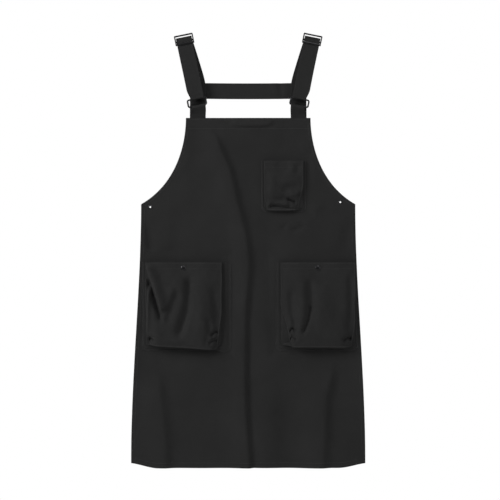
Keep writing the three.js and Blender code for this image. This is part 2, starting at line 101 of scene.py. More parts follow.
class ApronClothSettings(PropertyGroup):
    """Sizes and colour of the twill."""

    thickness: FloatProperty(
        name="Thickness", description="Thickness of the twill, in millimetres", default=0.8, min=0.3, max=2)
    bib_half: FloatProperty(
        name="Bib half width", description="Half the width of the bib's top edge, in millimetres",
        default=149.5)
    corner_half: FloatProperty(
        name="Corner half width", description="Half the width at the side corners, in millimetres",
        default=257.0)
    corner_z: FloatProperty(
        name="Corner height", description="Height of the side corners, in millimetres", default=-400.0)
    hem_rise: FloatProperty(
        name="Hem rise", description="How far the hem lifts at its two ends, in millimetres", default=11.0)
    fold_strength: FloatProperty(
        name="Fold strength", description="Scales the depth of the hanging folds", default=1.0,
        min=0, max=1.5)
    grid: FloatProperty(
        name="Mesh spacing", description="Widest spacing of the cloth's mesh, in millimetres",
        default=4.2, min=2)
    stitch_pitch: FloatProperty(
        name="Stitch pitch", description="Distance from one stitch to the next, in millimetres",
        default=3.2, min=1)
    colour: StringProperty(
        name="Twill colour", description="Colour of the twill, sRGB hex", default="#191919")
    # Rubbed patches on the twill and twist in the thread, and also a painted highlight on the tape's rib
    # crests.
    worn_and_highlight_colour: StringProperty(
        name="Worn twill colour", description="Colour of the twill where it has rubbed, sRGB hex",
        default="#1F1F1F")
    thread: StringProperty(
        name="Thread colour", description="Colour of the sewing thread, sRGB hex", default="#1D1D1D")


class ApronWebbingSettings(PropertyGroup):
    """Sizes and colour of the webbing."""

    width: FloatProperty(
        name="Width", description="Width of the webbing, in millimetres", default=38.0, min=10)
    thickness: FloatProperty(
        name="Thickness", description="Thickness of the webbing, in millimetres", default=1.1, min=0.5)
    lean: FloatProperty(
        name="Lean", description="Lean of the front legs from the vertical", default=math.radians(11.5),
        subtype="ANGLE")
    colour: StringProperty(
        name="Webbing colour", description="Colour of the webbing, sRGB hex", default="#0E0E0E")
    # The rib colour is a painted highlight on the tops of the ribs and edge cords.
    rib_top_highlight_colour: StringProperty(
        name="Webbing rib colour", description="Colour on top of the ribs, sRGB hex", default="#1A1A1A")


class ApronMetalSettings(PropertyGroup):
    """Sizes and colours of the metal trim."""

    wire: FloatProperty(
        name="Ring wire", description="Diameter of the ring's wire, in millimetres", default=4.0)
    ring_colour: StringProperty(
        name="Black nickel colour", description="Colour of the rings, adjusters and snaps, sRGB hex",
        default="#2B2B2C")


class ApronStageSettings(PropertyGroup):
    """Camera, floor and lights."""

    lens: FloatProperty(
        name="Lens", description="Focal length of the camera, in millimetres", default=100, min=35)
    floor_drop: FloatProperty(
        name="Floor drop", description="Height of the floor below the shoulder line", default=1.42,
        subtype="DISTANCE", unit="LENGTH")
    key_power: FloatProperty(
        name="Key light", description="Power of the key light", default=112, unit="POWER")
    top_power: FloatProperty(
        name="Top light", description="Power of the light above", default=28, unit="POWER")
    fill_power: FloatProperty(
        name="Fill light", description="Power of the fill light", default=16, unit="POWER")
    back_power: FloatProperty(
        name="Back light", description="Power of the light behind the apron", default=60, unit="POWER")
    ambient: FloatProperty(name="Ambient", description="Strength of the room's own light", default=0.34)


# ---------------------------------------------------------------- shapes on paper


def bezier(p0, p1, p2, p3, count):
    """Points of a cubic curve."""
    t = np.linspace(0, 1, count)[:, None]
    a, b, c, d = (np.array(p, float) for p in (p0, p1, p2, p3))
    return (1 - t) ** 3 * a + 3 * (1 - t) ** 2 * t * b + 3 * (1 - t) * t * t * c + t ** 3 * d


def smooth(value, low=0.0, high=1.0):
    """0 below low, 1 above high, and a smooth rise between."""
    t = np.clip((np.asarray(value, float) - low) / (high - low), 0, 1)
    return t * t * (3 - 2 * t)


def graded(start, end, widest, fine, places, growth=0.22):
    """Numbers from start to end, spaced finely at some places and more widely away from them."""
    sign = 1 if end > start else -1
    at = [start]
    while True:
        near = min(abs(at[-1] - p) for p in places)
        step = min(widest, fine + growth * near)
        if (end - at[-1]) * sign <= 1.4 * step:
            break
        at.append(at[-1] + sign * step)
    at.append(end)
    return np.array(at)


def to_path(x, z, path):
    """Signed distance to a path of x, z points, the place along it, and the path's length.

    Where the path runs down, the distance is positive to its right.
    """
    best = np.full(x.shape, 1e9)
    signed = np.zeros(x.shape)
    along = np.zeros(x.shape)
    run = 0.0
    for (ax, az), (bx, bz) in zip(path[:-1], path[1:]):
        dx, dz = bx - ax, bz - az
        length = math.hypot(dx, dz)
        t = np.clip(((x - ax) * dx + (z - az) * dz) / length ** 2, 0, 1)
        away = np.hypot(x - ax - t * dx, z - az - t * dz)
        side = dx * (z - az) - dz * (x - ax)
        nearer = away < best
        best = np.where(nearer, away, best)
        signed = np.where(nearer, np.where(side < 0, -away, away), signed)
        along = np.where(nearer, run + t * length, along)
        run += length
    return signed, along, run


def fold(x, z, path, rise, before, after, fade=40.0, fade_end=None):
    """Height of a soft fold along a path.

    before and after are its widths to the left and right where the path runs down, and the other way round
    where it runs up.
    """
    away, along, length = to_path(x, z, path)
    width = np.where(away < 0, before, after)
    ends = smooth(along, 0, fade) * smooth(length - along, 0, fade if fade_end is None else fade_end)
    return rise * ends * np.exp(-(away / width) ** 2)


def ripple(x, z, seed, size):
    """Gentle unevenness of about one unit, with features of about size millimetres."""
    rng = np.random.default_rng(seed)
    total = np.zeros(np.shape(x))
    for _ in range(7):
        angle, phase = rng.uniform(0, 2 * math.pi, 2)
        pitch = size * rng.uniform(0.7, 1.6)
        way = x * math.cos(angle) + 0.6 * z * math.sin(angle)
        total = total + np.sin(2 * math.pi * way / pitch + phase)
    return total / 7 ** 0.5


def arc(y, z, ry, rz, start, end, count):
    """Points round part of an oval in a plane of z and one other way; degrees from that way towards +z."""
    angle = np.radians(np.linspace(start, end, count))
    return [(y + ry * math.cos(a), z + rz * math.sin(a)) for a in angle]


def resample(path, step):
    """Points at equal steps along a path."""
    path = np.asarray(path, float)
    length = np.concatenate([[0], np.cumsum(np.linalg.norm(np.diff(path, axis=0), axis=1))])
    count = max(int(round(length[-1] / step)), 1)
    at = np.linspace(0, length[-1], count + 1)
    return np.stack([np.interp(at, length, path[:, k]) for k in range(path.shape[1])], -1)


def spline(points, step):
    """A smooth curve through points, at about equal steps."""
    points = np.asarray(points, float)
    padded = np.vstack([2 * points[0] - points[1], points, 2 * points[-1] - points[-2]])
    out = []
    for a, b, c, d in zip(padded[:-3], padded[1:-2], padded[2:-1], padded[3:]):
        t = np.linspace(0, 1, 20)[:-1, None]
        out.append(0.5 * (2 * b + (c - a) * t + (2 * a - 5 * b + 4 * c - d) * t ** 2
                          + (3 * b - a - 3 * c + d) * t ** 3))
    return resample(np.vstack(out + [points[-1:]]), step)


def beside(line):
    """Unit directions in the plane of x, z points, each a quarter turn to the right of the way along."""
    along = np.gradient(line, axis=0)
    along /= np.linalg.norm(along, axis=1, keepdims=True)
    return np.stack([along[:, 1], -along[:, 0]], -1)


def smooth_line(points, count):
    """A smooth line through points, with a set number of points."""
    line = spline(points, 0.4)
    length = np.concatenate([[0], np.cumsum(np.linalg.norm(np.diff(line, axis=0), axis=1))])
    at = np.linspace(0, length[-1], count)
    return np.stack([np.interp(at, length, line[:, k]) for k in range(3)], -1)


# ---------------------------------------------------------------- the apron's own lines

# Places on the harness, in millimetres. A front leg has a leaning frame of its own, from the shoulder down.
SHOULDER_X = 154.5
# Ring's middle below the shoulder, and the bottom of the strap's loop through it.
RING_DROP = 159.0
LOOP_FLOOR = -152.85
# Depths of the strap's front run, the ring, the return leg behind the run, and the leg at the back.
RUN_Y, RING_Y, RETURN_Y, BACK_Y = -8.05, -4.4, -0.75, 8.05
# Lower and upper end of the return leg, and how far its adjuster slides.
RETURN_START, RETURN_END = -146.0, -15.4
# The back straps' distance from the middle, the cross band, and where the lower back straps begin.
BACK_X = 121.0
BAND_Z, BAND_Y = -127.0, 9.45
SPLIT_Z = -150.3
# Near its ring the webbing is bunched to this width, and drawn this far inwards.
BUNCHED_WIDTH, BUNCHED_SHIFT = 32.5, 2.6
ADJUSTER_Z, ADJUSTER_Y = -6.4, -10.3
CENTRE_BAR_Z, CENTRE_BAR_Y = -9.4, -5.0
# Where the lower back straps are sewn behind the side corners, and their slant there.
SEWN_X, SEWN_Y, SEWN_Z = 213.0, 2.35, -429.0
SEWN_TURN = math.radians(36)
# Widths of the panel's turned hems, and distances of stitches from an edge.
HEMS = {"top": 28.0, "armhole": 9.0, "side": 10.0, "bottom": 15.0}
SEWN_IN = {"top": 25.5, "armhole": 7.0, "side": 8.0, "bottom": 12.5}
EDGE_STITCH = 3.0
MOUTH_STITCHES = (EDGE_STITCH, 16.0)
# The pockets' mouths stand this far in front of the panel; their snaps sit this far below the mouth.
MOUTH_STAND = 6.8
SNAP_DROP = 14.0

# Each pocket's shape, in millimetres:
#   creased  scales the depth of its folds
#   drop     how far its lower edge hangs below its seam
#   slant    how much further it hangs at the right than at the left
#   body     how full it is, where 1 fills its gusset
#   sag      how far the mouth gapes
#   flare    how far the pinched lower corners are pressed back
#   flange   how far the gusset's flange reaches past the left and the right side
#   tuck     how far the left and right sides are drawn in towards the bottom
#   folds    path, rise, widths before and after it, and fade at its ends, as fold takes them
POCKETS = {
    "left_pocket": {
        "creased": 1.35, "drop": 0.0, "body": 1.0, "sag": 9.0, "flare": 4.5, "slant": 12.0,
        "flange": (4.0, 20.0), "tuck": (3.0, 6.0), "folds": [
            ([(-246, -536), (-226, -590), (-203, -660)], 8.0, 4, 15, 16),
            ([(-240, -574), (-221, -630), (-206, -690)], -8.0, 8, 4, 22),
            ([(-196, -700), (-184, -650), (-166, -596)], -5.5, 13, 8, 34),
            ([(-186, -590), (-180, -640), (-186, -700)], 3.0, 14, 12, 30),
            ([(-142, -566), (-141, -610), (-146, -656), (-170, -726)], -8.0, 12, 8, 30),
            ([(-118, -560), (-112, -640), (-118, -720)], 3.0, 14, 24, 40),
            ([(-84, -590), (-80, -640), (-74, -700)], -3.4, 8, 10, 26),
            ([(-104, -736), (-90, -700), (-96, -660)], -3.2, 8, 8, 20),
            ([(-236, -700), (-200, -722), (-150, -730)], 2.4, 9, 9, 25),
            ([(-233, -583), (-241, -650), (-245, -715)], 4.2, 3, 5, 20),
            ([(-88, -712), (-74, -700), (-58, -704)], -6.0, 3.4, 4, 6),
            ([(-94, -728), (-76, -718), (-60, -722)], -5.0, 3.4, 4, 6),
            ([(-248, -728), (-236, -720), (-224, -726)], -6.0, 4, 3.4, 6),
        ]},
    "right_pocket": {
        "creased": 1.2, "drop": 4.0, "body": 1.0, "sag": 6.0, "flare": 5.0, "slant": 1.0,
        "flange": (8.0, 1.0), "tuck": (19.0, 3.0), "folds": [
            ([(146, -570), (152, -615), (151, -664)], -5.0, 12, 6, 30),
            ([(152, -636), (144, -674), (127, -714)], -6.5, 6, 4, 18),
            ([(126, -570), (132, -640), (118, -716)], 4.0, 13, 11, 36),
            ([(104, -596), (104, -660), (110, -720)], -4.0, 8, 8, 26),
            ([(166, -580), (172, -640), (168, -710)], 3.0, 12, 26, 40),
            ([(206, -560), (212, -640), (206, -716)], -1.8, 22, 22, 40),
            ([(243, -560), (246, -640), (240, -716)], -3.6, 8, 7, 30),
            ([(84, -706), (98, -696), (112, -702)], -6.0, 4, 3.4, 6),
            ([(82, -724), (96, -714), (114, -722)], -5.5, 4, 3.4, 6),
            ([(226, -726), (240, -716), (256, -720)], -7.5, 5, 4, 6),
        ]},
    "chest_pocket": {
        "creased": 1.3, "drop": 6.0, "body": 0.45, "sag": 5.0, "flare": 2.0, "slant": -1.0,
        "flange": (2.0, 3.0), "tuck": (1.0, 6.0), "folds": [
            ([(38, -404), (56, -393), (74, -395), (100, -401)], 4.0, 4, 5, 8),
            ([(42, -407), (66, -403), (94, -408), (114, -412)], -6.5, 3.4, 5, 14),
            ([(46, -394), (74, -390), (96, -380)], -3.2, 6, 7, 12),
            ([(90, -384), (106, -391), (122, -396)], -7.0, 3.4, 4, 8),
            ([(96, -373), (112, -377), (128, -373)], 3.0, 4, 6, 8),
            ([(98, -399), (112, -404), (128, -408)], 3.0, 3, 5, 8),
            ([(76, -368), (102, -359), (126, -360)], -3.2, 8, 10, 16),
            ([(52, -320), (58, -356), (54, -390)], 2.4, 9, 12, 20),
            ([(114, -288), (119, -312), (115, -336)], -2.8, 9, 8, 14),
        ]},
}
for pocket_name, facts in POCKETS.items():
    low, high = node_box(f"{pocket_name}_front")
    facts.update(
        x=(low[0] + high[0]) / 2, half=(high[0] - low[0]) / 2, mouth=high[2], bottom=low[2],
        deep=-low[1], mid=(low[2] + high[2]) / 2)

# The panel's folds: path, rise to the front, widths before and after it, and fades at its start and end.
PANEL_FOLDS = [
    ([(-108, -204), (-78, -247), (-46, -319), (-28, -398), (-9, -469), (0, -540), (-8, -667), (-10, -810),
      (-8, -905), (4, -1060)], 9.0, 34, 10, 80, 1),
    ([(8, -560), (0, -680), (-1, -800), (2, -900), (13, -1060)], -3.0, 5, 7, 80, 1),
    ([(30, -560), (34, -700), (42, -880), (44, -1060)], 3.2, 26, 40, 160, 1),
    ([(203, -762), (196, -810), (184, -865), (176, -1060)], 9.5, 58, 13, 70, 1),
    ([(-226, -784), (-214, -850), (-203, -950), (-200, -1060)], 8.0, 40, 16, 70, 1),
    ([(-120, -800), (-112, -900), (-110, -1060)], 2.6, 30, 44, 120, 1),
    ([(108, -800), (98, -920), (96, -1060)], -3.4, 34, 40, 120, 1),
    ([(-246, -424), (-238, -470), (-232, -528)], -4.0, 9, 15, 40, 30),
    ([(-212, -420), (-196, -470), (-190, -520)], 2.2, 22, 26, 50, 30),
    ([(232, -424), (238, -470), (236, -520)], -2.6, 16, 9, 40, 30),
    ([(72, -463), (84, -457), (97, -447)], -3.0, 4, 6, 14, 12),
    ([(99, -466), (118, -460), (138, -451)], -3.0, 4, 6, 14, 12),
    ([(118, -424), (160, -412), (204, -392)], 1.8, 9, 12, 30, 30),
    ([(-46, -206), (-12, -211), (34, -211), (66, -205)], 4.6, 3.5, 9, 18, 18),
    ([(120, -226), (150, -300), (160, -360)], 1.8, 12, 22, 60, 50),
    ([(-136, -236), (-150, -300), (-176, -352)], 2.2, 16, 16, 60, 50),
    ([(-92, -300), (-120, -400), (-150, -500)], -2.2, 40, 46, 80, 50),
    ([(-30, -520), (-34, -640), (-30, -740)], -2.0, 12, 16, 60, 60),
    ([(60, -500), (62, -600), (58, -740)], -2.2, 16, 12, 60, 60),
]


def half_outline():
    """The armhole and the side edge of the right half, as two runs of x, z points."""
    cloth = bpy.context.scene.apron_cloth
    hem_half, hem = PANEL_HIGH[0], PANEL_LOW[2]
    top = (cloth.bib_half, PANEL_HIGH[2])
    corner = (cloth.corner_half, cloth.corner_z)
    armhole = bezier(top, (top[0] + 1, top[1] - 97), (corner[0] - 64, corner[1] + 36), corner, 90)
    foot = (hem_half, hem + cloth.hem_rise)
    side = bezier(corner, (corner[0], corner[1] - 200), (hem_half, hem + 230), foot, 60)
    return armhole, side


def half_width(z):
    """Half the panel's width at a height."""
    armhole, side = half_outline()
    line = np.vstack([armhole, side[1:]])
    return np.interp(-np.asarray(z, float), -line[:, 1], line[:, 0])


def hem_z(x):
    """Height of the hem edge at a distance from the centre line: level, then lifting towards the sides."""
    cloth = bpy.context.scene.apron_cloth
    level_end, lifted = PANEL_HIGH[0] - 66, PANEL_HIGH[0] + 14
    return PANEL_LOW[2] + cloth.hem_rise * smooth(np.abs(x), level_end, lifted) * 1.15


def calm(x, z):
    """0 where the cloth is held flat by something sewn to it, and 1 away from that."""
    keep = np.ones(np.shape(x))
    # Pocket seams with their flanges, then the corner patches, then the tabs behind the bib's edge.
    seam = 13
    for p in POCKETS.values():
        out_x = np.abs(x - p["x"]) - p["half"] - seam
        out_z = np.abs(z - p["mid"]) - (p["mouth"] - p["bottom"]) / 2 - seam
        keep = keep * smooth(np.maximum(out_x, out_z), 0, 20)
    for side in (-1, 1):
        corner = np.hypot(x - side * 226, z + 408)
        tab = np.hypot((x - side * BACK_X) / 1.4, z + 196)
        keep = keep * smooth(corner, 30, 62) * smooth(tab, 14, 40)
    return keep


def drape(x, z):
    """y of the middle of the panel's cloth: 0 where it is flat, and less where it comes forward."""
    x, z = np.asarray(x, float), np.asarray(z, float)
    strength = bpy.context.scene.apron_cloth.fold_strength
    height = sum(fold(x, z, path, rise, a, b, f, g) for path, rise, a, b, f, g in PANEL_FOLDS)
    height = height + 0.7 * ripple(x, z, 3, 150) + 0.22 * ripple(x, z, 5, 46)
    return -strength * height * calm(x, z)


def edge_distances(x, z):
    """Distance inwards from each of the panel's edges."""
    armhole, side = half_outline()
    ax = np.abs(x)
    return {
        "top": PANEL_HIGH[2] - z,
        "armhole": np.abs(to_path(ax, z, armhole)[0]) + 1e3 * (z < armhole[-1, 1] - 12),
        "side": np.abs(to_path(ax, z, side)[0]) + 1e3 * (z > side[0, 1] + 12),
        "bottom": z - hem_z(x),
    }


def hem_profile(x, z):
    """Extra thickness of the turned hems, and how far the seams draw the cloth in."""
    extra = np.zeros(x.shape)
    groove = np.zeros(x.shape)
    for name, away in edge_distances(x, z).items():
        extra = np.maximum(extra, 1 - smooth(away, HEMS[name] - 0.9, HEMS[name] + 0.9))
        along = z if name in ("armhole", "side") else x
        pucker = 1 + 0.5 * np.sin(along / 1.9 + 2.1 * np.sin(along / 23.0))
        groove = groove + pucker * np.exp(-((away - SEWN_IN[name]) / 1.3) ** 2)
        if name == "top":
            groove = groove + pucker * np.exp(-((away - EDGE_STITCH) / 1.3) ** 2)
    return extra, groove


def panel_front(x, z):
    """y of the panel's front surface."""
    x, z = np.asarray(x, float), np.asarray(z, float)
    extra, groove = hem_profile(x, z)
    half = bpy.context.scene.apron_cloth.thickness / 2
    return drape(x, z) - half - 0.35 * extra + 0.22 * groove


def panel_back(x, z):
    """y of the panel's back surface."""
    x, z = np.asarray(x, float), np.asarray(z, float)
    half = bpy.context.scene.apron_cloth.thickness / 2
    return drape(x, z) + half


# ---------------------------------------------------------------- making meshes


def piece(name, points, faces, material, weave=None, sharp=50):
    """A closed mesh object from points in millimetres."""
    mesh = bpy.data.meshes.new(name)
    mesh.from_pydata((np.asarray(points, float) * MM).tolist(), [], [list(map(int, f)) for f in faces])
    if weave is not None:
        attribute = mesh.attributes.new("weave", "FLOAT_VECTOR", "POINT")
        attribute.data.foreach_set("vector", (np.asarray(weave, float) * MM).astype(np.float32).ravel())
    work = bmesh.new()
    work.from_mesh(mesh)
    bmesh.ops.recalc_face_normals(work, faces=work.faces)
    work.to_mesh(mesh)
    work.free()
    mesh.polygons.foreach_set("use_smooth", [True] * len(mesh.polygons))
    mesh.set_sharp_from_angle(angle=math.radians(sharp))
    obj = bpy.data.objects.new(name, mesh)
    bpy.context.scene.collection.objects.link(obj)
    mesh.materials.append(material)
    return obj


def closed_grid(front, back):
    """Points and faces of a cloth with a front and a back grid, joined round the rim."""
    rows, cols = front.shape[:2]
    points = np.vstack([front.reshape(-1, 3), back.reshape(-1, 3)])
    index = np.arange(rows * cols).reshape(rows, cols)
    far = index + rows * cols
    a, b, c, d = index[:-1, :-1], index[1:, :-1], index[1:, 1:], index[:-1, 1:]
    faces = [np.stack([a, b, c, d], -1).reshape(-1, 4)]
    a, b, c, d = far[:-1, :-1], far[:-1, 1:], far[1:, 1:], far[1:, :-1]
    faces.append(np.stack([a, b, c, d], -1).reshape(-1, 4))
    for edge in (np.s_[0], np.s_[-1], np.s_[:, 0], np.s_[:, -1]):
        near, other = index[edge], far[edge]
        faces.append(np.stack([near[:-1], near[1:], other[1:], other[:-1]], -1))
    return points, np.vstack(faces)


def grid_normals(grid):
    """Unit normals of a grid whose rows run down and columns run right, facing the viewer."""
    normal = np.cross(np.gradient(grid, axis=0), np.gradient(grid, axis=1))
    return normal / np.maximum(np.linalg.norm(normal, axis=-1, keepdims=True), 1e-9)


def cloth_piece(name, grid, material, front=0.4, back=0.4, weave=None):
    """A sheet of cloth from its middle surface; front and back are half thicknesses or arrays of them."""
    normal = grid_normals(grid)
    front, back = (np.broadcast_to(v, grid.shape[:2])[..., None] for v in (front, back))
    points, faces = closed_grid(grid + normal * front, grid - normal * back)
    if weave is not None:
        weave = np.vstack([weave.reshape(-1, 3)] * 2)
    return piece(name, points, faces, material, weave)


def ring_faces(rings, around, closed=False):
    """Faces of a tube of rings, with flat ends unless it closes on itself."""
    index = np.arange(rings * around).reshape(rings, around)
    nxt = np.roll(index, -1, axis=1)
    a, b, c, d = index[:-1], nxt[:-1], nxt[1:], index[1:]
    faces = np.stack([a, b, c, d], -1).reshape(-1, 4).tolist()
    if closed:
        faces += np.stack([index[-1], nxt[-1], nxt[0], index[0]], -1).tolist()
    else:
        faces += [index[0][::-1].tolist(), index[-1].tolist()]
    return faces


def tube(path, radii, around=14, up=(0, 1, 0), closed=False, squash=1.0):
    """Points and faces of a round or oval bar along a path; radii is one radius or one for each point."""
    path = np.asarray(path, float)
    radii = np.broadcast_to(radii, len(path))
    if closed:
        along = np.roll(path, -1, 0) - np.roll(path, 1, 0)
    else:
        along = np.gradient(path, axis=0)
    along /= np.linalg.norm(along, axis=1, keepdims=True)
    up = np.array(up, float)
    across = np.cross(along, up)
    across /= np.linalg.norm(across, axis=1, keepdims=True)
    deep = np.cross(across, along)
    angle = 2 * np.pi * np.arange(around) / around
    points = [
        path[i] + radii[i] * (np.outer(np.cos(angle), across[i]) + squash * np.outer(np.sin(angle), deep[i]))
        for i in range(len(path))
    ]
    return np.vstack(points), ring_faces(len(path), around, closed)


def merged(*shapes):
    """Points and faces of several shapes together."""
    points, faces = [], []
    for more, sides in shapes:
        start = sum(len(p) for p in points)
        faces += [[start + int(i) for i in f] for f in sides]
        points.append(more)
    return np.vstack(points), faces


def spokes(axis, around):
    """The unit axis, and unit directions evenly round it."""
    axis = np.array(axis, float) / np.linalg.norm(axis)
    right = np.cross(axis, (0, 0, 1.0))
    right /= np.linalg.norm(right)
    up = np.cross(right, axis)
    angle = 2 * np.pi * np.arange(around) / around
    return axis, np.outer(np.cos(angle), right) + np.outer(np.sin(angle), up)


def turned(profile, centre, axis=(0, -1, 0), around=40):
    """A shape turned about an axis, from radius and height pairs that begin and end on the axis."""
    profile = np.asarray(profile, float)
    axis, spoke = spokes(axis, around)
    body = profile[1:-1]
    rings = [np.array(centre) + r * spoke + h * axis for r, h in body]
    ends = [np.array(centre) + h * axis for _, h in (profile[0], profile[-1])]
    points = np.vstack(rings + [np.array(ends)])
    faces = ring_faces(len(body), around)[:-2]
    first, last = len(body) * around, len(body) * around + 1
    for k in range(around):
        n = (k + 1) % around
        faces.append([first, n, k])
        faces.append([last, (len(body) - 1) * around + k, (len(body) - 1) * around + n])
    return points, faces


def turned_ring(profile, centre, axis=(0, -1, 0), around=40):
    """A turned shape with a hole: the profile is a closed loop of radius and height pairs."""
    axis, around_axis = spokes(axis, around)
    points = [np.array(centre) + r * spoke + h * axis for spoke in around_axis for r, h in profile]
    return np.array(points), ring_faces(around, len(profile), closed=True)


def settle(obj, body, slot, *nodes):
    """A finished piece rides its body and stands for its CAD nodes, which it hides; slot is not used."""
    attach(obj, body)
    if nodes:
        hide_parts(*nodes)
    return obj


def open_holes(obj, places, radius):
    """Cuts round holes from front to back at x, z places."""
    profile = [(0, -9), (radius, -9), (radius, 9), (0, 9)]
    cutters = [turned(profile, (x, 0, z), around=24) for x, z in places]
    tool = piece("hole_cutter", *merged(*cutters), obj.data.materials[0])
    cut = obj.modifiers.new("Holes", "BOOLEAN")
    cut.operation, cut.solver, cut.object = "DIFFERENCE", "EXACT", tool
    done = bpy.data.meshes.new_from_object(obj.evaluated_get(bpy.context.evaluated_depsgraph_get()))
    obj.modifiers.clear()
    obj.data = done
    bpy.data.objects.remove(tool)


def stitches(name, seams, material, body, out=(0, -1, 0), lift=0.1, radius=0.3):
    """Lockstitches along seams, each a short thread that dips into the cloth at both ends."""
    pitch = bpy.context.scene.apron_cloth.stitch_pitch
    out = np.array(out, float)
    angle = 2 * np.pi * np.arange(5) / 5
    points, faces = [], []
    shape = [(0.06, -0.35, 0.55), (0.3, 0.4, 1.0), (0.7, 0.4, 1.0), (0.94, -0.35, 0.55)]
    for seam in seams:
        line = resample(seam, pitch)
        for a, b in zip(line[:-1], line[1:]):
            along = (b - a) / max(np.linalg.norm(b - a), 1e-9)
            across = np.cross(along, out)
            across /= np.linalg.norm(across)
            normal = np.cross(across, along)
            start = len(points)
            around = np.outer(np.cos(angle), across) + 0.8 * np.outer(np.sin(angle), normal)
            for share, height, thick in shape:
                centre = a + (b - a) * share + normal * (lift + radius * height)
                points += list(centre + radius * thick * around)
            faces += [[start + i for i in f] for f in ring_faces(4, 5)]
    obj = piece(name, np.array(points), faces, material, sharp=80)
    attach(obj, body)
    return obj


# ---------------------------------------------------------------- finishes


def linear(colour):
    """Linear RGBA from an sRGB hex colour."""
    parts = [int(colour[i:i + 2], 16) / 255 for i in (1, 3, 5)]
    return (*[c / 12.92 if c <= 0.04045 else ((c + 0.055) / 1.055) ** 2.4 for c in parts], 1.0)


def new_material(name):
    """An empty node material and its Principled shader."""
    material = bpy.data.materials.new(name)
    material.use_nodes = True
    return material, material.node_tree.nodes["Principled BSDF"]


def node(material, kind, settings=(), **links):
    """Adds a node, sets its properties and input values, and links inputs to other nodes' outputs.

    An input is named, or given by its number: 7 in settings and i7 in links. stops are a ramp's two stops.
    """
    made = material.node_tree.nodes.new(kind)
    for key, value in dict(settings).items():
        if key == "stops":
            for stop, (place, colour) in zip(made.color_ramp.elements, value):
                stop.position = place
                stop.color = colour
        elif isinstance(key, str) and hasattr(made, key):
            setattr(made, key, value)
        else:
            made.inputs[key].default_value = value
    for key, output in links.items():
        numbered = key[0] == "i" and key[1:].isdigit()
        material.node_tree.links.new(output, made.inputs[int(key[1:]) if numbered else key])
    return made


def join(material, output, target):
    """Links one socket to another."""
    material.node_tree.links.new(output, target)


# Twill ribs are about 0.5 mm apart and those of tape 0.6 mm. Both are drawn at 1.5 mm so that they show.
RIB_PITCH = 0.0015
RIB_SCALE = 2 * math.pi / (10 * RIB_PITCH * 2 ** 0.5)


def twill_material():
    """Brushed cotton twill, piece dyed black: matt, fine diagonal ribs, and greyer where it is rubbed."""
    if "black cotton twill" in bpy.data.materials:
        return bpy.data.materials["black cotton twill"]
    cloth = bpy.context.scene.apron_cloth
    m, shader = new_material("black cotton twill")
    place = node(m, "ShaderNodeTexCoord").outputs["Object"]
    ribs = node(m, "ShaderNodeTexWave", {
        "wave_type": "BANDS", "bands_direction": "DIAGONAL", "Scale": RIB_SCALE,
        "Distortion": 0.6, "Detail": 2.0, "Detail Scale": 3.0}, Vector=place)
    # Slubs of uneven yarn, a few millimetres long and lying along the warp.
    stretch = node(m, "ShaderNodeMapping", {"Scale": (900.0, 900.0, 130.0)}, Vector=place)
    slubs = node(m, "ShaderNodeTexNoise", {
        "Scale": 1.0, "Detail": 3.0, "Roughness": 0.6}, Vector=stretch.outputs[0])
    # Rubbed and faded areas, some centimetres across.
    wear = node(m, "ShaderNodeTexNoise", {"Scale": 9.0, "Detail": 5.0, "Roughness": 0.62}, Vector=place)
    faded = node(m, "ShaderNodeValToRGB", {
        "stops": [(0.25, linear(cloth.colour)), (0.85, linear(cloth.worn_and_highlight_colour))]}, Fac=wear.outputs["Fac"])
    # Painted shade makes the gaps between ribs darker than the cloth, and a painted highlight makes their
    # tops a little lighter.
    shaded = node(m, "ShaderNodeValToRGB", {
        "stops": [(0.2, (0.58, 0.58, 0.58, 1)), (0.8, (1.3, 1.3, 1.3, 1))]}, Fac=ribs.outputs["Fac"])
    # The rubbed tone multiplied by the painted rib shade and highlight.
    rib_shade_and_wear = node(m, "ShaderNodeMix", {
        "data_type": "RGBA", "blend_type": "MULTIPLY", 0: 0.9},
        i6=faded.outputs["Color"], i7=shaded.outputs["Color"])
    join(m, rib_shade_and_wear.outputs[2], shader.inputs["Base Color"])
    rough = node(m, "ShaderNodeMapRange", {"To Min": 0.82, "To Max": 0.95}, Value=slubs.outputs["Fac"])
    join(m, rough.outputs[0], shader.inputs["Roughness"])
    rib_bump = node(m, "ShaderNodeBump", {"Strength": 0.8, "Distance": 0.0003}, Height=ribs.outputs["Fac"])
    slub_bump = node(m, "ShaderNodeBump", {"Strength": 0.4, "Distance": 0.00025}, Height=slubs.outputs["Fac"],
                     Normal=rib_bump.outputs[0])
    join(m, slub_bump.outputs[0], shader.inputs["Normal"])
    shader.inputs["Specular IOR Level"].default_value = 0.08
    shader.inputs["Sheen Weight"].default_value = 0.02
    shader.inputs["Sheen Roughness"].default_value = 0.6
    return m


def tape_material():
    """Cotton twill tape, dyed black: a fine herringbone, matt."""
    if "black cotton tape" in bpy.data.materials:
        return bpy.data.materials["black cotton tape"]
    cloth = bpy.context.scene.apron_cloth
    m, shader = new_material("black cotton tape")
    place = node(m, "ShaderNodeTexCoord").outputs["Object"]
    ribs = node(m, "ShaderNodeTexWave", {
        "wave_type": "BANDS", "bands_direction": "DIAGONAL", "Scale": RIB_SCALE,
        "Distortion": 3.0, "Detail": 1.0}, Vector=place)
    # The rib crests take the lighter worn colour and the hollows the darker cloth colour: a painted highlight
    # on the crests and painted shade in the hollows.
    tone = node(m, "ShaderNodeValToRGB", {
        "stops": [(0.2, linear(cloth.colour)), (0.9, linear(cloth.worn_and_highlight_colour))]}, Fac=ribs.outputs["Fac"])
    join(m, tone.outputs["Color"], shader.inputs["Base Color"])
    bump = node(m, "ShaderNodeBump", {"Strength": 0.4, "Distance": 0.0002}, Height=ribs.outputs["Fac"])
    join(m, bump.outputs[0], shader.inputs["Normal"])
    shader.inputs["Roughness"].default_value = 0.88
    shader.inputs["Specular IOR Level"].default_value = 0.2
    return m


